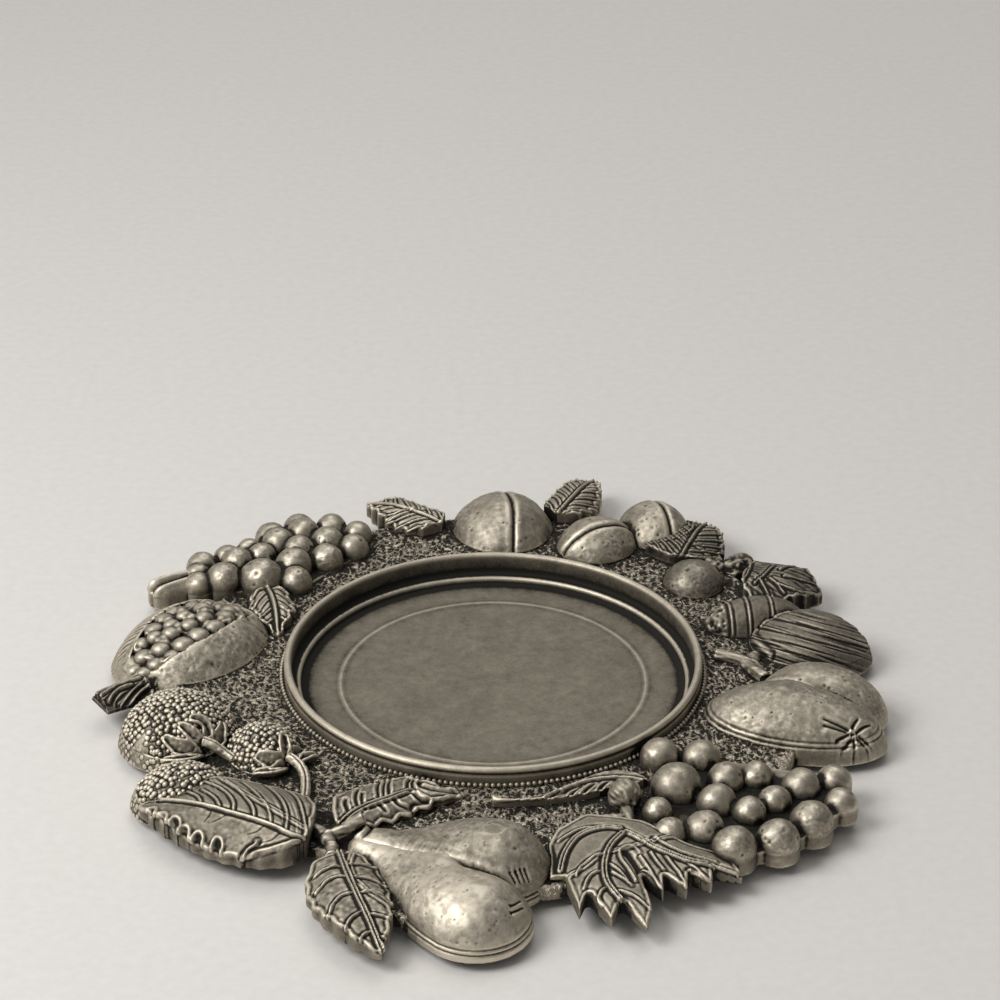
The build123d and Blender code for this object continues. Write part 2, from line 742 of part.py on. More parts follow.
vine_seat = lie(spot(21.0, -66.3), -66)
with BuildPart() as vine_leaf:
    with BuildSketch(vine_seat.offset(-LEAF_SKIRT)):
        with BuildLine():
            Polyline(
                (2.5, 2.5),
                (-4.0, -7.0),
                (-2.0, -14.5),
                (1.5, -18.0),
                (10.5, -22.0),
                (11.5, -19.0),
                (22.5, -21.0),
                (18.0, -17.0),
                (27.5, -16.5),
                (22.5, -12.0),
                (31.5, -11.0),
                (27.0, -7.5),
                (16.0, -5.0),
                (24.0, -3.5),
                (19.0, -1.5),
                (25.0, 1.0),
                (20.0, 3.5),
                (25.0, 6.5),
                (20.5, 8.5),
                (24.5, 13.5),
                (17.5, 14.0),
                (12.0, 7.5),
                close=True,
            )
        make_face()
    extrude(amount=VINE_LEAF_HEIGHT + LEAF_SKIRT)
    with BuildSketch(Plane(origin=vine_seat.origin, x_dir=vine_seat.y_dir, z_dir=vine_seat.x_dir)):
        with Locations((-VINE_LEAF_RIDGE, VINE_LEAF_HEIGHT - VINE_LEAF_BARREL)):
            Circle(VINE_LEAF_BARREL)
    extrude(amount=2 * VINE_LEAF_BARREL, both=True, mode=Mode.INTERSECT)
    bow(
        vine_seat.origin,
        vine_seat,
        (VINE_LEAF_CREST - VINE_LEAF_REACH / 2, VINE_LEAF_HEIGHT - LEAF_EDGE),
        (VINE_LEAF_CREST, VINE_LEAF_HEIGHT),
        (VINE_LEAF_REACH, LEAF_EDGE),
    )
    settle(vine_leaf, LEAF_SKIRT)
lay(vine_leaf, "vine_leaf")

# Tendril leaf that follows the collar: a thin stem that opens into a sickle blade
with BuildPart() as tendril_leaf:
    with BuildSketch(GROUND):
        with BuildLine():
            upper = Spline(flat(6.4, -90), flat(6.2, -78), flat(3.2, -67), flat(3.8, -59), flat(10.0, -55))
            lower = Spline(flat(10.0, -55), flat(9.0, -61), flat(8.6, -69), flat(8.2, -79), flat(8.0, -90))
            Line(lower @ 1, upper @ 0)
        make_face()
    extrude(amount=TENDRIL_HEIGHT)
    settle(tendril_leaf)
lay(tendril_leaf, "tendril_leaf")
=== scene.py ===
import json
from contextlib import contextmanager
from math import atan, cos, pi, radians, sin, sqrt

import bpy
import numpy as np
from bpy.props import FloatProperty, FloatVectorProperty, IntProperty, PointerProperty
from mathutils.kdtree import KDTree
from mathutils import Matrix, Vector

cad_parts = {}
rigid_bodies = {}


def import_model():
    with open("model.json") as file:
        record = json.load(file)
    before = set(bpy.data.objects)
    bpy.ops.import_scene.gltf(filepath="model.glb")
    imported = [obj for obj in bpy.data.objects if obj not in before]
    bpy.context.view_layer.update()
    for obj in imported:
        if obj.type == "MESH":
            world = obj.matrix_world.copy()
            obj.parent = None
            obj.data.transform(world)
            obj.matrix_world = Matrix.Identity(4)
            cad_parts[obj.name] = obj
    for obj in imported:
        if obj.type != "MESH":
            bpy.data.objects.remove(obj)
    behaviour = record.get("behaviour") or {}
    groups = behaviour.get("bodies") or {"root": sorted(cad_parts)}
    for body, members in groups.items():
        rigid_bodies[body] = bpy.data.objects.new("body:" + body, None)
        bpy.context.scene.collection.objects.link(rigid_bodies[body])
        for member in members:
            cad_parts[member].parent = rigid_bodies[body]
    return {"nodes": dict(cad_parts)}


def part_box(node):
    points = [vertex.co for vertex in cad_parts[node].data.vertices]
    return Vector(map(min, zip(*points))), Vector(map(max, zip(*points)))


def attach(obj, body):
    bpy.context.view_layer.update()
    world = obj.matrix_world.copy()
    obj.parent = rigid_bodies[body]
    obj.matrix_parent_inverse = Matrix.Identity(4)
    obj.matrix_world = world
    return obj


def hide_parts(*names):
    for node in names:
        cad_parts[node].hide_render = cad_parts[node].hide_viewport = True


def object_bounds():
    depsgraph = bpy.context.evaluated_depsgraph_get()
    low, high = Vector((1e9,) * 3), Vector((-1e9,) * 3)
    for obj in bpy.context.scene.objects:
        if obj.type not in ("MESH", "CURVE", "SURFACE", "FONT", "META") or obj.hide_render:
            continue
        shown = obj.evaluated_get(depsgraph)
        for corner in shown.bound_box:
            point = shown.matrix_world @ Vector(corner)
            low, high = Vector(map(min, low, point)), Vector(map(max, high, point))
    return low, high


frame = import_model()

bl_info = {
    "name": "Garland Coaster",
    "version": (1, 0, 0),
    "blender": (4, 5, 0),
    "location": "View3D > Sidebar > Coaster",
    "description": "Dresses a bottle coaster with a cast garland of fruit in antiqued pewter",
    "category": "Object",
}

CAD_BOX = [list(corner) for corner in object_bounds()]
MM = 0.001
COLLAR = 45.0
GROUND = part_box("ground_plate")[1].z / MM
RIM_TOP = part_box("dish")[1].z / MM
LEAF_FOOT = -2.4
GRAPE_SWELL = 1.14
TURNED = np.array(((0.36, 0.48, -0.8), (-0.8, 0.6, 0.0), (0.48, 0.64, 0.6)))
PLATE_CIRCLES = ((0.0, 0.0, 68.0), (0.0, -11.0, 66.0), (-13.95, -76.03, 14.0), (8.66, -66.64, 14.0))

# Each finish: mottle, grain, strength of the fine relief, how rubbed it is, and polish
FINISHES = {
    "smooth pewter": (0.44, 420.0, 0.26, 0.03, 0.05),
    "rubbed pewter": (0.44, 420.0, 0.26, 0.2, 0.05),
    "leaf pewter": (0.34, 900.0, 0.25, -0.06, 0.0),
    "dark pewter": (0.34, 900.0, 0.3, -0.26, 0.0),
    "beaded pewter": (0.4, 1500.0, 0.25, -0.26, 0.0),
    "drupelet pewter": (0.25, 1400.0, 0.15, 0.02, 0.0),
    "calyx pewter": (0.3, 900.0, 0.2, 0.06, 0.0),
    "rind pewter": (0.5, 700.0, 0.35, 0.1, 0.0),
    "seed pewter": (0.3, 1000.0, 0.2, -0.03, 0.1),
    "grape pewter": (0.34, 600.0, 0.2, -0.03, 0.14),
    "polished pewter": (0.34, 400.0, 0.15, -0.2, 0.2),
    "nut pewter": (0.34, 800.0, 0.3, -0.19, 0.0),
    "turned pewter": (0.3, 420.0, 0.3, -0.1, 0.0),
    "stippled pewter": (0.42, 1300.0, 0.5, 0.0, 0.0),
}

# Each grape: place along and across the bunch, share of the bunch's radius, and tier
BACK_GRAPES = (
    (-11.5, 6.5, 0.95, 0.65), (-14.0, 4.0, 0.75, 0.65), (-16.5, 0.0, 0.85, 0.65), (-11.0, -2.0, 1.10, 0.9),
    (-4.5, 6.5, 0.90, 0.65), (-5.0, 1.5, 1.00, 1.2), (0.5, 5.5, 0.75, 1.2), (1.0, 1.0, 0.90, 1.2),
    (8.5, 8.5, 1.05, 0.65), (7.5, 4.0, 1.05, 1.05), (-4.0, -7.0, 1.35, 0.9), (5.0, -6.0, 1.15, 0.9),
    (2.0, -11.5, 1.00, 0.65), (16.0, 8.5, 1.00, 0.65), (14.5, 4.5, 1.05, 1.05), (9.5, -1.5, 0.95, 1.2),
    (13.0, -7.5, 1.05, 0.65), (17.0, -2.0, 1.05, 1.05), (22.0, 4.0, 1.00, 0.65), (21.0, -6.5, 0.95, 0.65),
    (25.5, -1.5, 0.90, 0.65),
)
FRONT_GRAPES = (
    (-22.0, -0.5, 1.00, 0.55), (-15.5, 5.0, 1.00, 0.55), (-11.5, -6.5, 1.30, 0.65), (-6.5, 2.5, 0.95, 0.65),
    (-3.0, 8.0, 0.85, 0.55), (-2.0, -5.0, 1.00, 0.75), (-8.5, -15.5, 0.75, 0.55), (5.0, -3.0, 0.85, 0.75),
    (5.5, 4.0, 0.85, 0.65), (5.5, 12.0, 1.00, 0.45), (8.5, 19.0, 0.90, 0.3), (14.5, 14.0, 0.85, 0.1),
    (15.0, 4.5, 1.10, 0.3), (14.5, -5.0, 1.10, 0.3), (10.5, -13.5, 1.10, 0.4), (2.5, -13.5, 1.00, 0.55),
    (-1.5, -19.0, 0.85, 0.45),
)


# Places and lines, in millimetres


class Seat:
    """Place of a piece: beyond the collar on a bearing, turned to a heading."""

    def __init__(self, beyond, bearing, heading):
        reach = COLLAR + beyond
        self.centre = np.array((reach * cos(radians(bearing)), reach * sin(radians(bearing))))
        self.along = np.array((cos(radians(heading)), sin(radians(heading))))
        self.across = np.array((-self.along[1], self.along[0]))

    def local(self, points):
        """Distances along and across the seat for each point."""
        flat = points[:, :2] - self.centre
        return flat @ self.along, flat @ self.across

    def place(self, along, across):
        """Plan point of a distance along and across the seat."""
        return self.centre + along * self.along + across * self.across


def plate_reach(x, y):
    """Distance of the ground plate's edge from the axis, on the bearing of a point."""
    bearing = np.arctan2(y, x)
    far = np.zeros(np.shape(bearing))
    for centre_x, centre_y, size in PLATE_CIRCLES:
        reach = centre_x * np.cos(bearing) + centre_y * np.sin(bearing)
        room = size**2 - centre_x**2 - centre_y**2 + reach**2
        far = np.maximum(far, np.where(room > 0, reach + np.sqrt(np.clip(room, 0, None)), 0))
    return far


def ridge(distance, width):
    """Rounded line of height 1."""
    return np.exp(-((distance / width) ** 2))


def ramp(value, low, high):
    """Smooth step from 0 to 1."""
    share = np.clip((value - low) / (high - low), 0.0, 1.0)
    return share * share * (3 - 2 * share)


def eased(points, rounds=3):
    """Line with its corners cut round."""
    line = np.array(points, float)
    for _ in range(rounds):
        near, far = line[:-1] * 0.75 + line[1:] * 0.25, line[:-1] * 0.25 + line[1:] * 0.75
        middle = np.stack((near, far), 1).reshape(-1, line.shape[1])
        line = np.vstack((line[:1], middle, line[-1:]))
    return line


def beside(line, along, across):
    """Distance to a drawn line, and how far along it the nearest place is, from 0 to 1."""
    line = eased(line)
    best = np.full(along.shape, 1e9)
    share = np.zeros(along.shape)
    for index in range(len(line) - 1):
        start, run = line[index], line[index + 1] - line[index]
        t = ((along - start[0]) * run[0] + (across - start[1]) * run[1]) / max(run @ run, 1e-9)
        t = np.clip(t, 0, 1)
        gap = np.hypot(along - start[0] - t * run[0], across - start[1] - t * run[1])
        nearer = gap < best
        best[nearer] = gap[nearer]
        share[nearer] = (index + t[nearer]) / (len(line) - 1)
    return best, share


def noise(points, cell, seed):
    """Smooth random value from -1 to 1 in space; cell is a size, or a size for each axis."""
    place = np.asarray(points, np.float64)
    place = place @ TURNED / cell if np.isscalar(cell) else place / np.array(cell)
    base = np.floor(place).astype(np.int64)
    part = place - base
    part = part * part * (3 - 2 * part)
    total = np.zeros(len(place))
    for corner in range(8):
        step = np.array((corner & 1, corner >> 1 & 1, corner >> 2 & 1))
        key = ((base + step) * np.array((73856093, 19349663, 83492791))).sum(1) + seed * 2654435761
        key = (key ^ (key >> 13)) * 1274126177 & 0x7FFFFFFF
        key = (key ^ (key >> 16)) * 374761393 & 0x7FFFFFFF
        weight = np.prod(np.where(step, part, 1 - part), axis=1)
        total += weight * ((key & 0xFFFFF) / 524287.5 - 1)
    return total


# Working on a piece


def alone(piece=None):
    """Selects one piece and nothing else."""
    bpy.ops.object.select_all(action="DESELECT")
    if piece:
        piece.select_set(True)
        bpy.context.view_layer.objects.active = piece


@contextmanager
def editing(piece):
    """Edit mode on one piece with everything in it selected."""
    alone(piece)
    bpy.ops.object.mode_set(mode="EDIT")
    bpy.ops.mesh.select_all(action="SELECT")
    yield
    bpy.ops.object.mode_set(mode="OBJECT")


def finish_modifier(piece, kind, **values):
    """Adds a modifier with these values and applies it."""
    alone(piece)
    modifier = piece.modifiers.new(kind.lower(), kind)
    for key, value in values.items():
        setattr(modifier, key, value)
    bpy.ops.object.modifier_apply(modifier=modifier.name)


def even(piece, voxel, melt):
    """Gives a piece one closed skin of small even faces."""
    finish_modifier(piece, "REMESH", mode="VOXEL", voxel_size=voxel * MM)
    if melt:
        finish_modifier(piece, "SMOOTH", factor=0.5, iterations=melt)


def join(name, pieces):
    """Makes one object of several."""
    alone(pieces[0])
    for piece in pieces:
        piece.select_set(True)
    bpy.ops.object.join()
    pieces[0].name = pieces[0].data.name = name
    alone(pieces[0])
    bpy.ops.object.transform_apply(location=True, rotation=True, scale=True)
    return pieces[0]


def cast(node, voxel, melt):
    """Copy of a node of the frame, merged and given an even skin to work on."""
    mesh = frame["nodes"][node].data.copy()
    mesh.materials.clear()
    piece = bpy.data.objects.new(node + "_cast", mesh)
    mesh.name = piece.name
    bpy.context.scene.collection.objects.link(piece)
    with editing(piece):
        bpy.ops.mesh.remove_doubles(threshold=1e-6)
    even(piece, voxel, melt)
    return piece


def skin(piece):
    """Vertex places in millimetres and outward normals."""
    count = len(piece.data.vertices)
    points, normals = np.empty(count * 3, np.float32), np.empty(count * 3, np.float32)
    piece.data.vertices.foreach_get("co", points)
    piece.data.vertex_normals.foreach_get("vector", normals)
    return points.reshape(-1, 3).astype(float) / MM, normals.reshape(-1, 3).astype(float)


def put(piece, points):
    """Moves the vertices to these places, in millimetres, and keeps them inside the box of the whole model.
    """
    points = np.clip(points, np.array(CAD_BOX[0]) / MM, np.array(CAD_BOX[1]) / MM)
    piece.data.vertices.foreach_set("co", (points * MM).astype(np.float32).ravel())
    piece.data.update()


def press(piece, depth, floor=0.15):
    """Raises or sinks the skin by a depth at each vertex, and leaves what rests on the ground."""
    points, normals = skin(piece)
    free = ramp(points[:, 2], GROUND + floor - 0.1, GROUND + floor + 0.5)
    free = np.maximum(free, ramp(np.abs(normals[:, 2]), 0.75, 0.3) * 0.35)
    free[normals[:, 2] < -0.3] = 0
    put(piece, points + normals * (depth * free)[:, None])


def nearest(points, places):
    """Distance from each point to the nearest of some places, and which one that is."""
    tree = KDTree(len(places))
    for index, place in enumerate(places):
        tree.insert(place, index)
    tree.balance()
    found = [tree.find(point) for point in points]
    return np.array([hit[2] for hit in found]), np.array([hit[1] for hit in found])


def inland(piece):
    """Plan distance of each vertex of a leaf from its side wall."""
    points, normals = skin(piece)
    wall = (np.abs(normals[:, 2]) < 0.35) & (points[:, 2] > GROUND - 1.9)
    flat = points * (1, 1, 0)
    return nearest(flat, flat[wall])[0]


def averaged(piece):
    """Gives a function that averages values over each vertex's neighbours."""
    ends = np.empty(len(piece.data.edges) * 2, np.int32)
    piece.data.edges.foreach_get("vertices", ends)
    first, second = ends.reshape(-1, 2).T
    count = len(piece.data.vertices)
    near = np.maximum(np.bincount(first, minlength=count) + np.bincount(second, minlength=count), 1)

    def average(values):
        totals = [
            np.bincount(first, row[second], count) + np.bincount(second, row[first], count)
            for row in values.T
        ]
        return np.column_stack(totals) / near[:, None]

    return average


def blunt(piece, rounds, reach):
    """Rounds off a leaf's teeth and edges, up to a distance in from its side wall."""
    average = averaged(piece)
    points, _ = skin(piece)
    share = 0.5 * ramp(inland(piece), reach, 0.3 * reach)[:, None]
    for _ in range(rounds):
        points += share * (average(points) - points)
    put(piece, points)


def pits(points, count, size, depth, seed, up):
    """Small round hollows scattered over the upper side."""
    dice = np.random.default_rng(seed)
    tops = np.flatnonzero(up > 0.25)
    hollow = np.zeros(len(points))
    if len(tops) == 0:
        return hollow
    chosen = points[dice.choice(tops, count)]
    gap, which = nearest(points, chosen)
    sizes = dice.uniform(0.5, 1.4, count) * size
    deeps = dice.uniform(0.3, 1.0, count) * depth
    return -deeps[which] * ridge(gap, sizes[which])


def blurred(field, size):
    """Mean of a square grid over a window that reaches so many cells each way, taken twice."""
    count, window = len(field), 2 * size + 1
    for _ in range(2):
        for axis in (0, 1):
            room = [(0, 0), (0, 0)]
            room[axis] = (size + 1, size)
            sums = np.cumsum(np.pad(field, room, mode="edge"), axis=axis)
            low = np.take(sums, range(count), axis=axis)
            high = np.take(sums, range(window, window + count), axis=axis)
            field = (high - low) / window
    return field


def hammered(points, seed, amount):
    """Low waves of a hand-worked model."""
    waves = noise(points, 5.0, seed) * 0.6 + noise(points, 2.3, seed + 1) * 0.3
    return amount * (waves + noise(points, 1.1, seed + 2) * 0.18)


def settle(piece, node, finish, gain=1.0):
    """Gives a finished piece its material, its body and its patina's strength, and hides the node it stands
    for.
    """
    alone(piece)
    bpy.ops.object.shade_smooth()
    piece.data.materials.clear()
    piece.data.materials.append(finish)
    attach(piece, "root")
    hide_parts(node)
    piece["patina"] = gain


# Finishes


class Wiring:
    """Adds nodes to a tree. An input is a plain value or the output of another node."""

    def __init__(self, tree):
        self.nodes, self.links = tree.nodes, tree.links

    def feed(self, socket, value):
        """Links an output to a socket, or sets the socket to a plain value."""
        if isinstance(value, bpy.types.NodeSocket):
            self.links.new(value, socket)
        else:
            socket.default_value = value

    def node(self, kind, inputs, **settings):
        """New node with these settings and inputs."""
        node = self.nodes.new("ShaderNode" + kind)
        for key, value in settings.items():
            setattr(node, key, value)
        for label, value in inputs.items():
            self.feed(node.inputs[label], value)
        return node

    def place(self):
        """Object coordinates."""
        return self.node("TexCoord", {}).outputs["Object"]

    def sums(self, kind, first, second):
        """Two values added, subtracted or multiplied."""
        return self.node("Math", {0: first, 1: second}, operation=kind).outputs[0]

    def speckle(self, scale, detail, **more):
        """Noise in space."""
        inputs = {"Vector": self.place(), "Scale": scale, "Detail": detail, **more}
        return self.node("TexNoise", inputs).outputs["Fac"]

    def spread(self, value, low, high, first, last):
        """Smooth change from first to last as a value goes from low to high."""
        inputs = {"Value": value, "From Min": low, "From Max": high, "To Min": first, "To Max": last}
        return self.node("MapRange", inputs, interpolation_type="SMOOTHSTEP").outputs["Result"]

    def blended(self, share, first, second):
        """Mix of two colours."""
        inputs = {"Factor": share, "A": first, "B": second}
        return self.node("Mix", inputs, data_type="RGBA").outputs["Result"]

    def score(self, shader, height, strength, distance):
        """Fine relief on a shader, on top of the relief that it has."""
        inputs = {"Height": height, "Strength": strength, "Distance": distance}
        if shader.inputs["Normal"].links:
            inputs["Normal"] = shader.inputs["Normal"].links[0].from_socket
        self.feed(shader.inputs["Normal"], self.node("Bump", inputs).outputs["Normal"])


def blank(name):
    """New material, its wiring and its shader."""
    material = bpy.data.materials.new(name)
    material.use_nodes = True
    return material, Wiring(material.node_tree), material.node_tree.nodes["Principled BSDF"]


def shades(colour, low, high):
    """Darker and lighter shade of a colour."""
    return [(*(min(1.0, share * value) for value in colour), 1) for share in (low, high)]


def antique_patina():
    """Node group: colour, roughness, metal and fine relief of antiqued pewter from how worn it is and how
    much painted shade it carries.
    """
    name = "antique patina"
    if name in bpy.data.node_groups:
        return bpy.data.node_groups[name]
    group = bpy.data.node_groups.new(name, "ShaderNodeTree")
    for label, kind, default in (
        ("Worn", "NodeSocketFloat", 0.5),
        ("Bright", "NodeSocketColor", (0.7, 0.68, 0.65, 1)),
        ("Middle", "NodeSocketColor", (0.3, 0.29, 0.27, 1)),
        ("Dark", "NodeSocketColor", (0.02, 0.02, 0.02, 1)),
        ("Mottle", "NodeSocketFloat", 0.3),
        ("Grain", "NodeSocketFloat", 900.0),
    ):
        group.interface.new_socket(label, in_out="INPUT", socket_type=kind).default_value = default
    for label, kind in (
        ("Colour", "NodeSocketColor"),
        ("Roughness", "NodeSocketFloat"),
        ("Metal", "NodeSocketFloat"),
        ("Relief", "NodeSocketFloat"),
    ):
        group.interface.new_socket(label, in_out="OUTPUT", socket_type=kind)
    wiring = Wiring(group)
    sums, spread = wiring.sums, wiring.spread
    given = wiring.nodes.new("NodeGroupInput").outputs
    result = wiring.nodes.new("NodeGroupOutput").inputs
    fine = wiring.speckle(given["Grain"], 6.0, Roughness=0.65)
    blotch = wiring.speckle(170.0, 3.0, Roughness=0.55)
    tooth = wiring.speckle(2100.0, 3.0, Roughness=0.7)
    drift = sums("ADD", sums("SUBTRACT", fine, 0.5), sums("MULTIPLY", sums("SUBTRACT", blotch, 0.5), 0.7))
    drift = sums("ADD", drift, sums("MULTIPLY", sums("SUBTRACT", tooth, 0.5), 0.9))
    worn = sums("ADD", given["Worn"], sums("MULTIPLY", drift, given["Mottle"]))
    lower = wiring.blended(spread(worn, 0.14, 0.58, 0.0, 1.0), given["Dark"], given["Middle"])
    colour = wiring.blended(spread(worn, 0.5, 1.0, 0.0, 1.0), lower, given["Bright"])
    rough = sums("ADD", spread(worn, 0.1, 0.95, 0.72, 0.5), sums("MULTIPLY", tooth, 0.12))
    wiring.feed(result["Colour"], colour)
    wiring.feed(result["Roughness"], rough)
    wiring.feed(result["Metal"], spread(worn, 0.0, 0.4, 0.55, 1.0))
    wiring.feed(result["Relief"], sums("ADD", fine, sums("MULTIPLY", tooth, 0.5)))
    return group


def pewter(name):
    """Antiqued pewter: dark with patina in the hollows and with painted shade between pieces and under
    overhangs, grey on the flats and bright where it is rubbed.
    """
    if name in bpy.data.materials:
        return bpy.data.materials[name]
    mottle, grain, bump, lift, polish = FINISHES[name]
    finish = bpy.context.scene.coaster_finish
    material, wiring, shader = blank(name)
    group = wiring.nodes.new("ShaderNodeGroup")
    group.node_tree = antique_patina()
    # The attribute holds each vertex's patina and rubbing together with its painted shade
    worn = wiring.node("Attribute", {}, attribute_name="patina").outputs["Fac"]
    for label, value in (
        ("Worn", wiring.sums("ADD", worn, lift)),
        ("Bright", (*finish.bright, 1)),
        ("Middle", (*finish.middle, 1)),
        ("Dark", (*finish.dark, 1)),
        ("Mottle", mottle),
        ("Grain", grain),
    ):
        wiring.feed(group.inputs[label], value)
    wiring.feed(shader.inputs["Base Color"], group.outputs["Colour"])
    wiring.feed(shader.inputs["Roughness"], wiring.sums("SUBTRACT", group.outputs["Roughness"], polish))
    wiring.feed(shader.inputs["Metallic"], group.outputs["Metal"])
    wiring.score(shader, group.outputs["Relief"], bump, 0.0003)
    return material


def turned_pewter():
    """Pewter turned on a lathe: the same patina with fine rings round the axis."""
    material = pewter("turned pewter")
    wiring = Wiring(material.node_tree)
    flat = wiring.node("VectorMath", {0: wiring.place(), 1: (1, 1, 0)}, operation="MULTIPLY")
    reach = wiring.node("VectorMath", {0: flat.outputs["Vector"]}, operation="LENGTH")
    inputs = {"W": reach.outputs["Value"], "Scale": 3400.0, "Detail": 4.0}
    rings = wiring.node("TexNoise", inputs, noise_dimensions="1D")
    wiring.score(wiring.nodes["Principled BSDF"], rings.outputs["Fac"], 0.22, 0.0002)
    return material


def stippled_pewter():
    """Pewter chased all over with fine worm lines."""
    material = pewter("stippled pewter")
    wiring = Wiring(material.node_tree)
    curls = wiring.speckle(820.0, 1.0, Distortion=0.7)
    folded = wiring.node("Math", {0: wiring.sums("SUBTRACT", curls, 0.5)}, operation="ABSOLUTE")
    lines = wiring.spread(folded.outputs[0], 0.0, 0.09, 0.32, -0.34)
    group = next(node for node in wiring.nodes if node.type == "GROUP")
    worn = wiring.sums("ADD", group.inputs["Worn"].links[0].from_socket, lines)
    wiring.feed(group.inputs["Worn"], worn)
    wiring.score(wiring.nodes["Principled BSDF"], lines, 0.9, 0.0004)
    return material


def felt():
    """Pressed wool felt with short matted fibres."""
    material, wiring, shader = blank("pressed felt")
    fibres = wiring.speckle(1500.0, 6.0, Distortion=1.5)
    colours = shades(bpy.context.scene.coaster_finish.felt, 0.55, 1.5)
    wiring.feed(shader.inputs["Base Color"], wiring.blended(fibres, *colours))
    wiring.score(shader, fibres, 0.7, 0.0004)
    shader.inputs["Roughness"].default_value = 0.95
    shader.inputs["Sheen Weight"].default_value = 0.4
    return material


def pale_floor():
    """Matt pale floor with faint flecks."""
    material, wiring, shader = blank("pale floor")
    colours = shades(bpy.context.scene.coaster_finish.floor, 0.93, 1.06)
    wiring.feed(shader.inputs["Base Color"], wiring.blended(wiring.speckle(420.0, 5.0), *colours))
    shader.inputs["Roughness"].default_value = 0.85
    shader.inputs["Specular IOR Level"].default_value = 0.2
    return material


# Shared forms of the ornaments


def turned(name, profile, steps):
    """Ring of a profile in the XZ plane, given as (radius, height), spun about the axis."""
    alone()
    bpy.ops.mesh.primitive_plane_add(size=1)
    piece = bpy.context.object
    piece.name = piece.data.name = name
    with editing(piece):
        bpy.ops.mesh.delete(type="VERT")
    piece.data.vertices.add(len(profile))
    put(piece, np.array([(radius, 0, height) for radius, height in profile]))
    piece.data.edges.add(len(profile) - 1)
    for index, edge in enumerate(piece.data.edges):
        edge.vertices = (index, index + 1)
    with editing(piece):
        bpy.ops.mesh.spin(steps=steps, angle=2 * pi, center=(0, 0, 0), axis=(0, 0, 1))
        bpy.ops.mesh.select_all(action="SELECT")
        bpy.ops.mesh.remove_doubles(threshold=2e-6)
        bpy.ops.mesh.normals_make_consistent(inside=False)
    return piece


def edged(edge):
    """Rounded lip along a leaf's edge, with a furrow behind it."""
    return 0.28 * ridge(edge - 0.3, 0.28) - 0.16 * ridge(edge - 0.85, 0.35)


def paired(gap):
    """Vein of two close ridges with a line between them."""
    return 0.5 * ridge(gap - 0.34, 0.21) - 0.25 * ridge(gap, 0.15) - 0.28 * ridge(gap - 0.95, 0.35)


def veined(piece, seat, rib, pitch, sweep, bend, seed):
    """Leaf relief: a raised rib, swept side veins with furrows, and a lip along the teeth."""
    points, normals = skin(piece)
    along, across = seat.local(points)
    line = eased(rib)
    side = across - np.interp(along, line[:, 0], line[:, 1])
    out = np.abs(side)
    lead = along - sweep * out - bend * out**2 + 0.5 * (side > 0)
    turn = lead / pitch + 0.18 * noise(points, 4.0, seed)
    away = np.abs(turn - np.round(turn)) * pitch / sqrt(1 + sweep * sweep)
    relief = ramp(out, 0.5, 1.4) * (0.34 * ridge(away, 0.21) - 0.2 * ridge(away - 0.52, 0.26))
    relief += 0.5 * ridge(out, 0.32) - 0.28 * ridge(out - 0.75, 0.3) + edged(inland(piece))
    relief += hammered(points, seed + 5, 0.14)
    press(piece, relief * ramp(normals[:, 2], 0.1, 0.5), LEAF_FOOT)


def fruity(piece, seed, pit_count, waves, size, depth):
    """Fruit skin: places and their relief of low waves and scattered pits, not yet pressed in."""
    points, normals = skin(piece)
    marks = 0.04 * noise(points @ TURNED, (2.4, 0.5, 0.5), seed + 7)
    marks *= ramp(noise(points, 6.0, seed + 8), -0.3, 0.4)
    dots = pits(points, pit_count, size, depth, seed, normals[:, 2])
    return points, hammered(points, seed, waves) + marks + dots


def seam(first, second):
    """Distance of each vertex of two touching fruit from the other one."""
    here, there = skin(first)[0], skin(second)[0]
    return nearest(here, there)[0], nearest(there, here)[0]


def mended(piece, gap, merged, fill, lap):
    """Fills the valley beside a seam where two fruit run into one, and elsewhere lifts or sinks the lap."""
    points, normals = skin(piece)
    points[:, :2] += normals[:, :2] * (merged * ramp(gap, 1.6, 0.2))[:, None]
    shift = merged * fill * ramp(gap, 6.0, 0.0) + (1 - merged) * lap * ramp(gap, 2.6, 0.2)
    points[:, 2] += shift * ramp(points[:, 2], GROUND, GROUND + 1.5)
    put(piece, points)


def drawn(along, across, strokes, width, height, furrow=0.0):
    """Relief of drawn lines that thin out along their run, with a furrow on both sides of each."""
    raised, sunk = np.zeros(len(along)), np.zeros(len(along))
    for stroke in strokes:
        gap, share = beside(stroke, along, across)
        thin = 1 - 0.45 * share
        raised = np.maximum(raised, thin * ridge(gap, width * thin))
        sunk = np.maximum(sunk, thin * ridge(gap - 2.1 * width, 0.9 * width))
    return height * raised - furrow * sunk * (1 - raised)


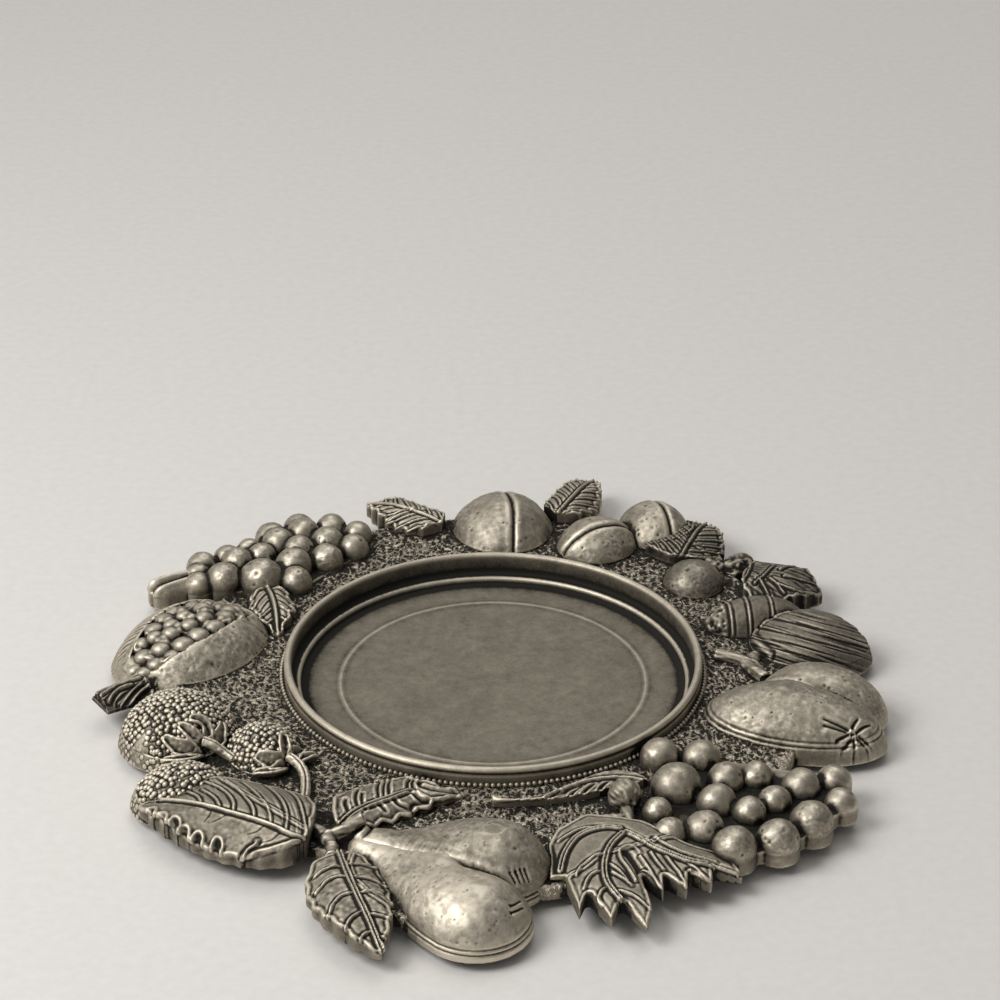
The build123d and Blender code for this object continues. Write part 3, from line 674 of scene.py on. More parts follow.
def knobbly(piece, seat, half_length, radius, height, pitch, seed, rubbed):
    """Strawberry skin: irregular drupelets with deep gaps, and one rubbed patch."""
    points, _ = skin(piece)
    area = 4 * pi * radius * (radius * 2 + half_length) / 3
    count = int(area / (0.866 * pitch * pitch))
    index = np.arange(count) + 0.5
    lift, turn = 1 - 2 * index / count, pi * (1 + sqrt(5)) * index
    level = np.sqrt(1 - lift**2)
    dice = np.random.default_rng(seed)
    ball = np.stack((lift, level * np.cos(turn), level * np.sin(turn)), 1)
    ball = ball * (half_length, radius, radius) + dice.normal(0, 0.17 * pitch, (count, 3))
    places = np.empty_like(ball)
    places[:, :2] = seat.place(ball[:, :1], ball[:, 1:2])
    places[:, 2] = ball[:, 2] + GROUND + height - radius
    gap, which = nearest(points, places)
    sizes = dice.uniform(0.38, 0.52, count)[which] * pitch
    dome = np.sqrt(np.clip(1 - (gap / sizes) ** 2, 0, 1))
    relief = dice.uniform(0.42, 0.62, count)[which] * dome - 0.36 + 0.08 * noise(points, 0.7, seed)
    if rubbed:
        along, across = seat.local(points)
        worn = ridge(np.hypot(along - rubbed[0], across - rubbed[1]) + 0.5 * noise(points, 1.2, seed), 1.8)
        relief += worn * (0.2 - relief)
    press(piece, relief)


def bunched(name, seat, radius, seat_height, grapes):
    """Bunch: one dome for each grape and a thin web between them, as one skin."""
    alone()
    parts, webs = [], []
    for along, across, share, tier in grapes:
        x, y = seat.place(along, across) * MM
        size = radius * share * GRAPE_SWELL * MM
        bpy.ops.mesh.primitive_uv_sphere_add(
            segments=36, ring_count=20, radius=size, location=(x, y, (GROUND + seat_height * tier) * MM)
        )
        parts.append(bpy.context.object)
        foot = 0.2 if np.hypot(x, y) / MM < plate_reach(x, y) - radius * 0.4 else 3.0
        sides = (seat_height * tier + foot) * MM
        bpy.ops.mesh.primitive_cylinder_add(
            vertices=36, radius=size * 0.98, depth=sides, location=(x, y, (GROUND - foot) * MM + sides / 2)
        )
        parts.append(bpy.context.object)
        bpy.ops.mesh.primitive_cylinder_add(
            vertices=16, radius=size * 0.5, depth=3.2 * MM, location=(x, y, (GROUND - 1.2) * MM)
        )
        webs.append(bpy.context.object)
    web = join(name + "_web", webs)
    with editing(web):
        bpy.ops.mesh.convex_hull()
    piece = join(name, [web] + parts)
    even(piece, 0.28, 1)
    return piece


def tube(name, points, radius, taper):
    """Round stem along a smooth line of points in millimetres."""
    curve = bpy.data.curves.new(name, "CURVE")
    curve.dimensions = "3D"
    curve.bevel_depth = radius * MM
    curve.bevel_resolution = 5
    curve.use_fill_caps = True
    spline = curve.splines.new("NURBS")
    spline.points.add(len(points) - 1)
    for index, (target, point) in enumerate(zip(spline.points, points)):
        target.co = (*(value * MM for value in point), 1)
        target.radius = 1 + (taper - 1) * index / (len(points) - 1)
    spline.order_u = 3
    spline.use_endpoint_u = True
    spline.resolution_u = 8
    piece = bpy.data.objects.new(name, curve)
    bpy.context.scene.collection.objects.link(piece)
    alone(piece)
    bpy.ops.object.convert(target="MESH")
    return bpy.context.object


def sepal(name, seat, fruit, line, width, lift):
    """Curled sepal along a line over its fruit, which is given by half length, radius and height."""
    alone()
    bpy.ops.mesh.primitive_grid_add(x_subdivisions=26, y_subdivisions=10, size=1)
    piece = bpy.context.object
    piece.name = piece.data.name = name
    points, _ = skin(piece)
    share, side = points[:, 0] * MM + 0.5, points[:, 1] * MM * 2
    course = eased(line)
    steps = np.linspace(0, 1, len(course))
    along, across = np.interp(share, steps, course[:, 0]), np.interp(share, steps, course[:, 1])
    ahead_along = np.interp(share + 0.05, steps, course[:, 0]) - np.interp(share - 0.05, steps, course[:, 0])
    ahead_across = np.interp(share + 0.05, steps, course[:, 1]) - np.interp(share - 0.05, steps, course[:, 1])
    length = np.maximum(np.hypot(ahead_along, ahead_across), 1e-6)
    wide = width * np.sin(pi * np.clip(share * 0.8 + 0.2, 0, 1) ** 0.9) ** 0.8 + 0.12
    along, across = along - side * wide * ahead_across / length, across + side * wide * ahead_along / length
    half_length, radius, height = fruit
    room = radius**2 * np.clip(1 - (along / half_length) ** 2, 0, 1) - across**2
    top = GROUND + height - radius + np.sqrt(np.clip(room, 0, None))
    rise = np.maximum(top, GROUND + 0.3) + 0.9 + lift * share**1.5
    rise += 1.0 * side**2 * np.sin(pi * np.clip(share, 0, 1)) - 0.5 * ridge(side, 0.4)
    plan = seat.centre + np.outer(along, seat.along) + np.outer(across, seat.across)
    put(piece, np.column_stack((plan, rise)))
    finish_modifier(piece, "SOLIDIFY", thickness=0.65 * MM, offset=-1.0)
    finish_modifier(piece, "SUBSURF", levels=1, render_levels=1)
    return piece


# Sizes and colours that a user may change


def millimetres(name, description, default, low, high):
    """Setting for a size."""
    description += ", in millimetres"
    return FloatProperty(name=name, description=description, default=default, min=low, max=high)


def tint(name, description, default):
    """Setting for a colour."""
    return FloatVectorProperty(
        name=name, description=description, subtype="COLOR", default=default, min=0, max=1
    )


class CoasterSizes(bpy.types.PropertyGroup):
    """Sizes of the worked surfaces."""

    leaf_skin: millimetres("Leaf skin", "Face size on leaves", 0.24, 0.1, 1.0)
    fruit_skin: millimetres("Fruit skin", "Face size on fruit", 0.3, 0.1, 1.0)
    drupelet_pitch: millimetres("Drupelet pitch", "Distance between drupelets", 1.4, 0.5, 4.0)
    beads: IntProperty(
        name="Beads", description="Beads round the collar's foot", default=236, min=24, max=600
    )
    stipple: millimetres("Stipple", "Width of the worm lines on the ground", 1.25, 0.5, 4.0)
    stipple_depth: millimetres("Stipple depth", "Height of the worm lines", 0.34, 0.0, 1.5)


class CoasterFinish(bpy.types.PropertyGroup):
    """Colours of the finishes."""

    bright: tint("Bright pewter", "Rubbed metal", (0.72, 0.65, 0.53))
    middle: tint("Grey pewter", "Metal on the flats", (0.31, 0.278, 0.222))
    # The dark colour paints both the oxide in the hollows and the painted shade between pieces and under
    # overhangs
    dark: tint("Dark patina", "Oxide in the hollows", (0.02, 0.0178, 0.0138))
    felt: tint("Felt", "Felt under the base", (0.045, 0.042, 0.04))
    floor: tint("Floor", "Pale floor", (0.76, 0.735, 0.70))


# Operators, one for each piece or group of like pieces


class COASTER_OT_felt_pad(bpy.types.Operator):
    """Felt disc glued under the base"""

    bl_idname = "coaster.felt_pad"
    bl_label = "Felt pad"

    def execute(self, context):
        low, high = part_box("felt_pad")
        alone()
        bpy.ops.mesh.primitive_cylinder_add(
            vertices=180, radius=high.x, depth=high.z - low.z, location=(0, 0, (low.z + high.z) / 2)
        )
        piece = bpy.context.object
        piece.name = piece.data.name = "felt_pad_disc"
        bpy.ops.object.transform_apply(location=True)
        finish_modifier(piece, "BEVEL", width=0.3 * MM, segments=3)
        settle(piece, "felt_pad", felt(), gain=0.0)
        return {"FINISHED"}


class COASTER_OT_dish(bpy.types.Operator):
    """Turned dish with a stepped well and a rolled lip"""

    bl_idname = "coaster.dish"
    bl_label = "Dish"

    def execute(self, context):
        bottom, ledge, floor, well, roll = 1.0, 1.8, 2.6, 43.4, 0.8
        turns = [radians(turn) for turn in range(0, 181, 15)]
        profile = [(radius, bottom) for radius in (0.4, 20.0, 44.0, 48.6)]
        profile += [(49.0, 1.2), (49.0, 1.6), (48.8, ledge), (COLLAR, ledge)]
        profile += [(COLLAR, level) for level in np.linspace(2.4, RIM_TOP - 1.9, 12)]
        profile += [(44.85, RIM_TOP - 1.5), (44.8, RIM_TOP - 1.3)]
        profile += [(COLLAR - roll + roll * cos(turn), RIM_TOP - roll + roll * sin(turn)) for turn in turns]
        profile += [(well, level) for level in np.linspace(RIM_TOP - 1.2, 4.9, 8)]
        profile += [(43.3, 4.45), (42.9, 4.22), (42.4, 4.2), (41.9, 4.15)]
        profile += [(41.55, 3.9), (41.45, 3.4), (41.4, 2.9), (41.1, 2.65)]
        for radius in np.linspace(40.6, 0.4, 90):
            profile.append((radius, floor + 0.12 * ridge(radius - 33.0, 0.5)))
        piece = turned("dish_turned", profile, 540)
        with editing(piece):
            bpy.ops.mesh.select_all(action="DESELECT")
            bpy.ops.mesh.select_mode(type="EDGE")
            bpy.ops.mesh.select_non_manifold()
            bpy.ops.mesh.fill_holes(sides=0)
            bpy.ops.mesh.select_mode(type="VERT")
        settle(piece, "dish", turned_pewter())
        return {"FINISHED"}


class COASTER_OT_ground_plate(bpy.types.Operator):
    """Ground plate with its wormy stipple"""

    bl_idname = "coaster.ground_plate"
    bl_label = "Ground plate"

    def execute(self, context):
        sizes = context.scene.coaster_sizes
        inner, outer, bottom = 45.05, 68.0, 1.8
        profile = [(inner, bottom), (inner, GROUND - 0.5)]
        profile += [(radius, GROUND) for radius in np.linspace(inner, outer - 0.5, 64)]
        profile += [(outer - 0.15, GROUND - 0.15), (outer, GROUND - 0.5), (outer, 3.5), (outer, 2.3)]
        profile += [(radius, bottom) for radius in (outer - 0.5, 62.0, 56.0, 50.0, inner)]
        piece = turned("ground_plate_stippled", profile, 1040)
        points, _ = skin(piece)
        bearing = np.arctan2(points[:, 1], points[:, 0])
        radius = np.hypot(points[:, 0], points[:, 1])
        far = plate_reach(points[:, 0], points[:, 1])
        radius = inner + (radius - inner) * (far - inner) / (outer - inner)
        points[:, 0], points[:, 1] = radius * np.cos(bearing), radius * np.sin(bearing)
        cell = sizes.stipple
        sway = np.column_stack((noise(points, 1.6, 5), noise(points, 1.6, 6), np.zeros(len(points))))
        bent = (points + 0.5 * sway) * (1.1, 0.7, 1.0)
        worms = noise(bent, cell, 3) + 0.5 * noise(bent, cell * 0.6, 4)
        relief = ridge(worms, 0.3) - 0.5 + 0.4 * ramp(noise(bent, cell * 0.7, 9), 0.25, 0.6)
        relief *= ramp(radius, inner + 0.8, inner + 2.0) * (points[:, 2] > GROUND - 0.05)
        points[:, 2] += sizes.stipple_depth * relief * 0.8
        put(piece, points)
        settle(piece, "ground_plate", stippled_pewter())
        return {"FINISHED"}


class COASTER_OT_beads(bpy.types.Operator):
    """Row of beads at the collar's foot"""

    bl_idname = "coaster.beads"
    bl_label = "Beads"

    def execute(self, context):
        low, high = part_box("beaded_wire")
        size = (high.z - low.z) / 2
        alone()
        bpy.ops.mesh.primitive_uv_sphere_add(
            segments=10, ring_count=7, radius=size, location=(high.x - size, 0, (low.z + high.z) / 2)
        )
        piece = bpy.context.object
        piece.name = piece.data.name = "beaded_wire_beads"
        bpy.ops.object.transform_apply(location=True)
        count = context.scene.coaster_sizes.beads
        with editing(piece):
            bpy.ops.mesh.spin(steps=count, dupli=True, angle=2 * pi, center=(0, 0, 0), axis=(0, 0, 1))
            bpy.ops.mesh.select_all(action="SELECT")
            bpy.ops.mesh.remove_doubles(threshold=1e-6)
            bpy.ops.mesh.normals_make_consistent(inside=False)
        settle(piece, "beaded_wire", pewter("beaded pewter"))
        return {"FINISHED"}


class COASTER_OT_pears(bpy.types.Operator):
    """Two pears at the front"""

    bl_idname = "coaster.pears"
    bl_label = "Pears"

    def execute(self, context):
        finish = pewter("smooth pewter")
        rubbed = pewter("rubbed pewter")
        upper_ticks = [
            [(5.9, -7.0), (6.5, -7.3), (7.0, -7.6)],
            [(6.7, -6.1), (7.3, -6.4), (7.8, -6.8)],
            [(7.4, -5.2), (7.9, -5.5), (8.4, -5.8)],
            [(8.1, -4.5), (8.6, -4.8), (9.0, -5.1)],
        ]
        lower_ticks = [[(7.2, 2.4), (7.2, 3.8), (6.5, 5.9)], [(8.2, 1.6), (8.2, 3.2), (7.6, 5.5)]]
        hook = [[(-29.6, 3.1), (-27.4, 1.6), (-26.8, -0.8), (-27.0, -2.2), (-28.1, -2.9)]]
        voxel = context.scene.coaster_sizes.fruit_skin
        upper, lower = cast("pear_upper", voxel, 4), cast("pear_lower", voxel, 4)
        upper_gap, lower_gap = seam(upper, lower)
        axis = Seat(44.4, -92.2, -44)
        for node, piece, gap, lap, seat, ticks, seed in (
            ("pear_upper", upper, upper_gap, 0.7, Seat(28.5, -89.8, -20), upper_ticks, 11),
            ("pear_lower", lower, lower_gap, -0.9, axis, lower_ticks, 23),
        ):
            mended(piece, gap, ramp(axis.local(skin(piece)[0])[0], -6.0, -12.0), 1.7, lap)
            points, relief = fruity(piece, seed, pit_count=70, waves=0.34, size=0.3, depth=0.15)
            along, across = seat.local(points)
            relief += drawn(along, across, ticks, 0.32, -0.7)
            if node == "pear_upper":
                relief += drawn(along, across, hook, 0.5, 0.6, 0.5)
            band = points[:, 2] - GROUND
            lines = -0.9 * ridge(band + 1.5, 0.24) + 0.6 * ridge(band + 1.0, 0.24)
            relief += lines - 0.5 * ridge(band + 0.5, 0.2)
            press(piece, relief)
            settle(piece, node, finish if node == "pear_upper" else rubbed)
        return {"FINISHED"}


class COASTER_OT_leaves(bpy.types.Operator):
    """Veined leaves with toothed edges, among the back fruit"""

    bl_idname = "coaster.leaves"
    bl_label = "Back leaves"

    def execute(self, context):
        voxel = context.scene.coaster_sizes.leaf_skin
        bright = pewter("leaf pewter")
        dark = pewter("dark pewter")
        for node, seat, rib, pitch, sweep, bend, seed in (
            ("peach_leaf_left", Seat(17, 101, 145), [(0, 0), (10, 0.7), (22, -0.4)], 3.2, 0.8, 0.05, 33),
            ("peach_leaf_right", Seat(22, 77, 65), [(0, 0), (10, -0.7), (22, 0.4)], 3.2, 0.8, 0.05, 35),
            ("plum_leaf", Seat(16, 49, 62), [(0, -3), (9, -2), (20.5, 0)], 2.6, 0.6, 0.03, 37),
            ("grape_leaf_back", Seat(14.3, 148.5, -79), [(0, 0), (9, 0.6), (18, 0)], 3.2, 0.8, 0.04, 39),
        ):
            piece = cast(node, voxel, 1)
            veined(piece, seat, rib, pitch, sweep, bend, seed)
            settle(piece, node, dark if node == "plum_leaf" else bright)
        piece = cast("round_leaf", voxel, 1)
        points, normals = skin(piece)
        along, across = Seat(22.4, 33.4, -17).local(points)
        stems = [
            [(3.9, -4.6), (5.5, -1.7), (6.4, 3.0)],
            [(1.1, -4.5), (1.6, -0.4), (1.0, 4.0)],
            [(4.8, -3.6), (6.4, -5.5), (7.4, -6.8)],
            [(6.8, -2.5), (9.1, -4.2), (10.9, -6.0)],
            [(8.3, 1.4), (9.6, 4.6), (11.2, 6.4)],
            [(9.7, -0.8), (13.2, 0.0), (16.3, 1.7)],
            [(9.0, -4.0), (13.1, -4.8), (16.6, -2.6)],
        ]
        fan = np.arctan2(across, along + 7.0) * 13 + 0.5 * noise(points, 3.0, 41)
        relief = drawn(along, across, stems, 0.28, 0.55, 0.3) + 0.05 * np.cos(2 * pi * fan)
        relief += 0.6 * edged(inland(piece)) + hammered(points, 42, 0.3)
        press(piece, relief * ramp(normals[:, 2], 0.1, 0.5), LEAF_FOOT)
        settle(piece, "round_leaf", dark)
        return {"FINISHED"}


class COASTER_OT_front_leaves(bpy.types.Operator):
    """Large leaf with looped teeth and small leaf with a double rib, at the left front"""

    bl_idname = "coaster.front_leaves"
    bl_label = "Front leaves"

    def execute(self, context):
        voxel = context.scene.coaster_sizes.leaf_skin
        finish = pewter("leaf pewter")
        piece = cast("large_leaf", voxel, 2)
        blunt(piece, 45, 2.2)
        points, normals = skin(piece)
        along, across = Seat(32.6, -118.3, 156).local(points)
        rib = [(-0.9, -0.7), (0.1, 0.3), (2.9, 1.1), (6.6, 0.3), (9.7, -0.1), (14.3, -0.3), (18.7, -0.3)]
        rib += [(24.0, -0.8), (29.0, -1.5), (33.5, -1.9)]
        veins = [
            [(16.4, -0.4), (17.5, -3.2), (20.4, -5.9), (23.8, -7.9), (27.5, -9.2)],
            [(11.6, -0.2), (13.0, -3.0), (16.3, -5.8), (19.5, -8.0), (23.4, -10.2)],
            [(7.7, 0.1), (9.5, -3.1), (13.1, -6.6), (16.6, -9.4), (20.6, -12.4)],
            [(4.1, 0.7), (6.0, -4.1), (9.1, -7.9), (13.5, -12.0), (17.5, -15.5)],
            [(19.3, -0.5), (21.3, -3.0), (23.3, -4.5), (26.5, -6.2)],
            [(23.8, -0.9), (25.8, -3.6), (29.5, -5.2)],
            [(0.1, 0.3), (1.2, -2.5), (4.7, -7.6), (8.8, -12.6), (13.0, -16.0)],
        ]
        folds = [
            [(12.8, -1.7), (14.5, -4.2), (16.6, -5.6)],
            [(9.0, -1.2), (11.5, -4.4), (14.6, -7.2)],
            [(5.3, -1.1), (7.8, -4.5), (11.4, -8.1)],
            [(2.1, -0.3), (4.5, -5.1), (7.4, -8.5)],
            [(18.0, -3.2), (20.5, -5.2), (22.6, -6.2)],
        ]
        flap = [
            [(9.9, 8.2), (9.6, 6.4), (8.4, 5.2), (8.6, 4.4)],
            [(9.2, 7.8), (7.7, 6.4), (4.3, 4.7), (1.4, 2.4), (0.1, 0.3)],
        ]
        scuffs = [
            [(21.6, 0.4), (20.4, 0.8), (20.8, 3.4)],
            [(17.3, -0.1), (17.8, 1.6), (19.3, 3.0)],
            [(8.8, 0.4), (9.3, 2.4), (11.0, 3.5)],
            [(5.0, 1.4), (5.7, 3.5), (7.4, 4.4)],
        ]
        line = eased(rib)
        side = across - np.interp(along, line[:, 0], line[:, 1])
        inner, outer = ramp(-side, 0.3, 1.0), ramp(side, 0.3, 1.4)
        edge = inland(piece)
        lead = along + 0.75 * side - 0.02 * side**2
        blade = np.column_stack((lead, side, points[:, 2]))
        relief = drawn(along, across, veins, 0.27, 0.5, 0.2) + drawn(along, across, folds, 0.2, 0.06, 0.05)
        relief += inner * 0.06 * noise(blade, (0.5, 7.0, 7.0), 51) + (1 - outer) * edged(edge)
        relief += outer * (0.12 * noise(points, 2.2, 52) + 0.07 * noise(points, 0.8, 53))
        relief += drawn(along, across, flap, 0.4, 0.6, 0.35) + drawn(along, across, scuffs, 0.3, -0.18)
        for place in ((30.0, 3.9), (26.6, 4.6), (23.8, 5.9), (20.6, 6.3), (16.2, 6.4), (33.6, 1.8)):
            gap = np.hypot(along - place[0] + 0.25 * (across - place[1]), 0.7 * (across - place[1] - 0.9))
            relief += 0.4 * ridge(gap - 1.2, 0.34) - 0.7 * ridge(gap, 0.7)
        relief += outer * 0.35 * ridge(edge - 0.3, 0.4)
        out = np.hypot(side, np.clip(along - 33.5, 0, None))
        relief = relief * ramp(out, 0.2, 0.9) + 0.6 * ridge(out, 0.33) - 0.25 * ridge(out - 0.78, 0.32)
        press(piece, relief * ramp(normals[:, 2], 0.05, 0.4), LEAF_FOOT)
        settle(piece, "large_leaf", finish)

        piece = cast("small_leaf", voxel, 2)
        blunt(piece, 45, 2.2)
        points, normals = skin(piece)
        along, across = Seat(32.3, -113.2, -73).local(points)
        veins = [
            [(10.8, -0.4), (10.9, 3.2), (13.3, 6.2)],
            [(16.0, -0.4), (16.1, 3.0), (19.5, 5.7)],
            [(22.2, -0.1), (23.3, 2.6), (24.4, 4.4)],
            [(6.6, -0.3), (6.1, 2.9), (6.8, 5.9)],
            [(27.5, 0.0), (28.4, 1.6), (29.0, 2.6)],
            [(10.3, -0.4), (9.5, -3.8), (12.1, -7.6)],
            [(15.7, -0.5), (15.9, -4.5), (20.5, -7.4)],
            [(21.0, -0.3), (23.1, -4.0), (25.6, -5.2)],
            [(6.6, -0.3), (6.1, -3.2), (7.4, -6.6)],
            [(26.6, 0.0), (27.1, -2.2), (28.6, -3.2)],
        ]
        rib = [(0, 0.2), (7.3, -0.4), (15.9, -0.5), (20.7, -0.2), (25.3, 0.0), (31.5, 0.4)]
        gap, _ = beside(rib, along, across)
        relief = drawn(along, across, veins, 0.28, 0.5, 0.26) * ramp(gap, 0.4, 1.1) + paired(gap)
        relief += edged(inland(piece)) + 0.14 * noise(points, 1.0, 31) + hammered(points, 32, 0.2)
        press(piece, relief * ramp(normals[:, 2], 0.05, 0.4), LEAF_FOOT)
        settle(piece, "small_leaf", finish)
        return {"FINISHED"}


class COASTER_OT_feather_leaf(bpy.types.Operator):
    """Slim leaf with grouped slits and a frayed tip, above the upper pear"""

    bl_idname = "coaster.feather_leaf"
    bl_label = "Feather leaf"

    def execute(self, context):
        piece = cast("feather_leaf", 0.2, 1)
        points, normals = skin(piece)
        along, across = Seat(23.9, -116.8, 27).local(points)
        slits = [
            [(3.5, 2.2), (3.8, 4.4), (4.6, 5.5)],
            [(5.8, 2.0), (6.2, 4.8), (9.0, 9.0)],
            [(6.7, 1.4), (7.3, 4.2), (8.3, 5.8)],
            [(10.7, 2.9), (11.8, 6.2), (14.6, 10.6)],
            [(11.7, 2.8), (12.8, 5.5), (15.8, 10.4)],
            [(13.0, 3.2), (14.4, 6.6), (16.8, 10.2)],
            [(17.6, 4.0), (18.3, 5.8), (19.4, 6.8)],
            [(18.6, 3.7), (19.1, 5.6), (20.2, 6.6)],
            [(13.3, 1.5), (13.5, 0.0), (15.0, -1.1)],
            [(17.8, 1.5), (18.1, -0.2), (19.7, -1.0)],
            [(9.9, 1.7), (10.2, 0.5), (10.5, -0.3)],
        ]
        fingers = [
            [(21.4, 4.3), (22.9, 2.9), (25.1, 1.9), (28.3, 1.4)],
            [(18.5, 2.1), (19.4, 0.3), (21.1, -0.9), (25.1, -0.9)],
            [(16.7, -1.7), (19.2, -2.0), (22.2, -1.4)],
        ]
        rib = [(0.5, -0.5), (3.4, 0.9), (5.9, 1.7), (9.4, 2.1), (12.8, 2.3), (15.6, 2.6), (18.1, 3.1)]
        gap, _ = beside(rib, along, across)
        relief = drawn(along, across, slits, 0.36, -0.8, -0.3) * ramp(gap, 0.3, 0.9)
        relief += drawn(along, across, fingers, 0.5, 0.4, 0.6) + 0.8 * edged(inland(piece)) + 0.35
        relief += 0.35 * ridge(gap - 0.36, 0.22) - 0.3 * ridge(gap, 0.16) - 0.4 * ridge(gap - 0.95, 0.3)
        press(piece, (relief + 0.1 * noise(points, 0.9, 61)) * ramp(normals[:, 2], 0.1, 0.5), LEAF_FOOT)
        settle(piece, "feather_leaf", pewter("leaf pewter"))
        return {"FINISHED"}


class COASTER_OT_vine_leaf(bpy.types.Operator):
    """Lobed vine leaf with paired veins"""

    bl_idname = "coaster.vine_leaf"
    bl_label = "Vine leaf"

    def execute(self, context):
        piece = cast("vine_leaf", context.scene.coaster_sizes.leaf_skin, 2)
        blunt(piece, 60, 2.4)
        points, normals = skin(piece)
        along, across = Seat(21.0, -66.3, -66).local(points)
        mains = [
            [(5.1, -2.9), (8.4, -1.2), (12.2, 0.2), (14.9, 2.2), (18.4, 4.8), (20.9, 9.0), (23.5, 12.2)],
            [
                (5.6, -3.7), (7.7, -7.2), (10.8, -9.8), (14.3, -11.9),
                (17.6, -13.0), (20.5, -13.1), (23.5, -12.4),
            ],
            [(3.8, -3.3), (2.3, -5.9), (1.9, -9.0), (2.4, -12.0), (4.1, -14.6), (6.7, -17.1), (9.9, -19.2)],
        ]
        sides = [
            [(10.2, -9.7), (10.0, -12.4), (11.1, -15.1), (13.2, -17.3)],
            [(14.8, -12.1), (14.4, -14.1), (15.5, -16.1), (17.6, -17.7)],
            [(19.4, -13.9), (20.0, -15.4), (21.6, -16.6), (23.1, -16.7)],
            [(13.3, -10.3), (15.5, -9.4), (19.1, -9.0)],
            [(15.9, -10.9), (17.9, -9.7), (20.6, -8.9)],
            [(21.0, -11.9), (22.8, -10.0), (25.1, -9.0), (27.3, -8.3)],
            [(23.9, -13.2), (25.5, -11.7), (30.1, -11.2)],
            [(13.3, -1.2), (15.8, -1.3), (18.7, -1.0)],
            [(15.1, 1.2), (17.9, 1.1), (21.4, 1.5), (24.6, 0.8)],
            [(17.7, 3.8), (20.6, 5.1), (24.1, 6.0)],
            [(13.6, -3.7), (16.1, -3.7), (18.6, -3.6), (21.0, -3.7), (23.2, -3.7)],
            [(1.6, -6.6), (0.5, -10.1), (0.8, -12.8), (1.7, -15.8)],
            [(20.4, 3.7), (23.1, 5.4), (24.6, 6.2)],
            [(9.0, 1.6), (13.0, 3.2), (16.5, 6.0), (19.5, 10.0)],
        ]
        rim = [(19.6, -7.6), (15.7, -7.4), (12.7, -7.6), (10.4, -6.7)]
        rim += [(9.7, -5.1), (10.1, -3.3), (12.5, -3.2)]
        relief = drawn(along, across, sides, 0.29, 0.5, 0.22) + drawn(along, across, [rim], 0.32, 0.5, 0.2)
        for line in mains:
            gap, _ = beside(line, along, across)
            relief = relief * ramp(gap, 0.5, 1.2) + paired(gap)
        gap, _ = beside([(11.8, -5.5), (15.0, -5.5), (18.4, -5.6), (21.3, -5.8)], along, across)
        relief += -1.1 * ridge(gap, 0.8) + 0.9 * edged(inland(piece))
        relief = np.clip(relief, -1.2, 0.8) + hammered(points, 71, 0.18)
        press(piece, relief * ramp(normals[:, 2], 0.05, 0.4), LEAF_FOOT)
        settle(piece, "vine_leaf", pewter("leaf pewter"))
        return {"FINISHED"}


class COASTER_OT_tendril_leaf(bpy.types.Operator):
    """Sickle leaf that follows the collar"""

    bl_idname = "coaster.tendril_leaf"
    bl_label = "Tendril leaf"

    def execute(self, context):
        piece = cast("tendril_leaf", 0.2, 1)
        points, normals = skin(piece)
        lines = [
            [
                (-1.0, -51.0), (1.4, -53.0), (4.4, -52.9), (7.4, -52.6),
                (10.4, -52.1), (12.5, -49.8), (15.2, -47.6),
            ],
            [
                (12.7, -49.9), (16.6, -47.0), (19.7, -45.2), (23.8, -44.4),
                (27.9, -44.4), (30.9, -45.6), (31.9, -46.4),
            ],
        ]
        slits = [
            [(11.1, -52.1), (11.9, -51.2), (13.5, -49.6)],
            [(15.7, -51.1), (16.3, -49.6), (17.8, -48.1)],
            [(18.3, -50.3), (19.2, -48.5), (20.5, -47.0)],
            [(21.6, -49.1), (22.1, -47.6), (23.3, -46.2)],
        ]
        along, across = points[:, 0], points[:, 1]
        relief = drawn(along, across, lines, 0.45, 0.45, 0.4) + drawn(along, across, slits, 0.34, -0.6, -0.3)
        relief += 0.15 * noise(points, 1.1, 75)
        press(piece, relief * ramp(normals[:, 2], 0.1, 0.5))
        settle(piece, "tendril_leaf", pewter("leaf pewter"))
        return {"FINISHED"}


class COASTER_OT_strawberries(bpy.types.Operator):
    """Three strawberries covered in drupelets"""

    bl_idname = "coaster.strawberries"
    bl_label = "Strawberries"

    def execute(self, context):
        pitch = context.scene.coaster_sizes.drupelet_pitch
        finish = pewter("drupelet pewter")
        for node, seat, half_length, radius, height, seed in (
            ("strawberry_large", Seat(24.8, -159.9, 150), 13.4, 12.8, 8.0, 81),
            ("strawberry_small", Seat(12.6, -145.6, 110), 9.6, 8.2, 5.6, 82),
            ("strawberry_third", Seat(33.3, -143.6, 192), 11.0, 9.6, 5.2, 83),
        ):
            piece = cast(node, 0.19, 2)
            rubbed = (2.5, 10.5) if node == "strawberry_large" else None
            knobbly(piece, seat, half_length, radius, height, pitch, seed, rubbed)
            settle(piece, node, finish, gain=2.1)
        return {"FINISHED"}


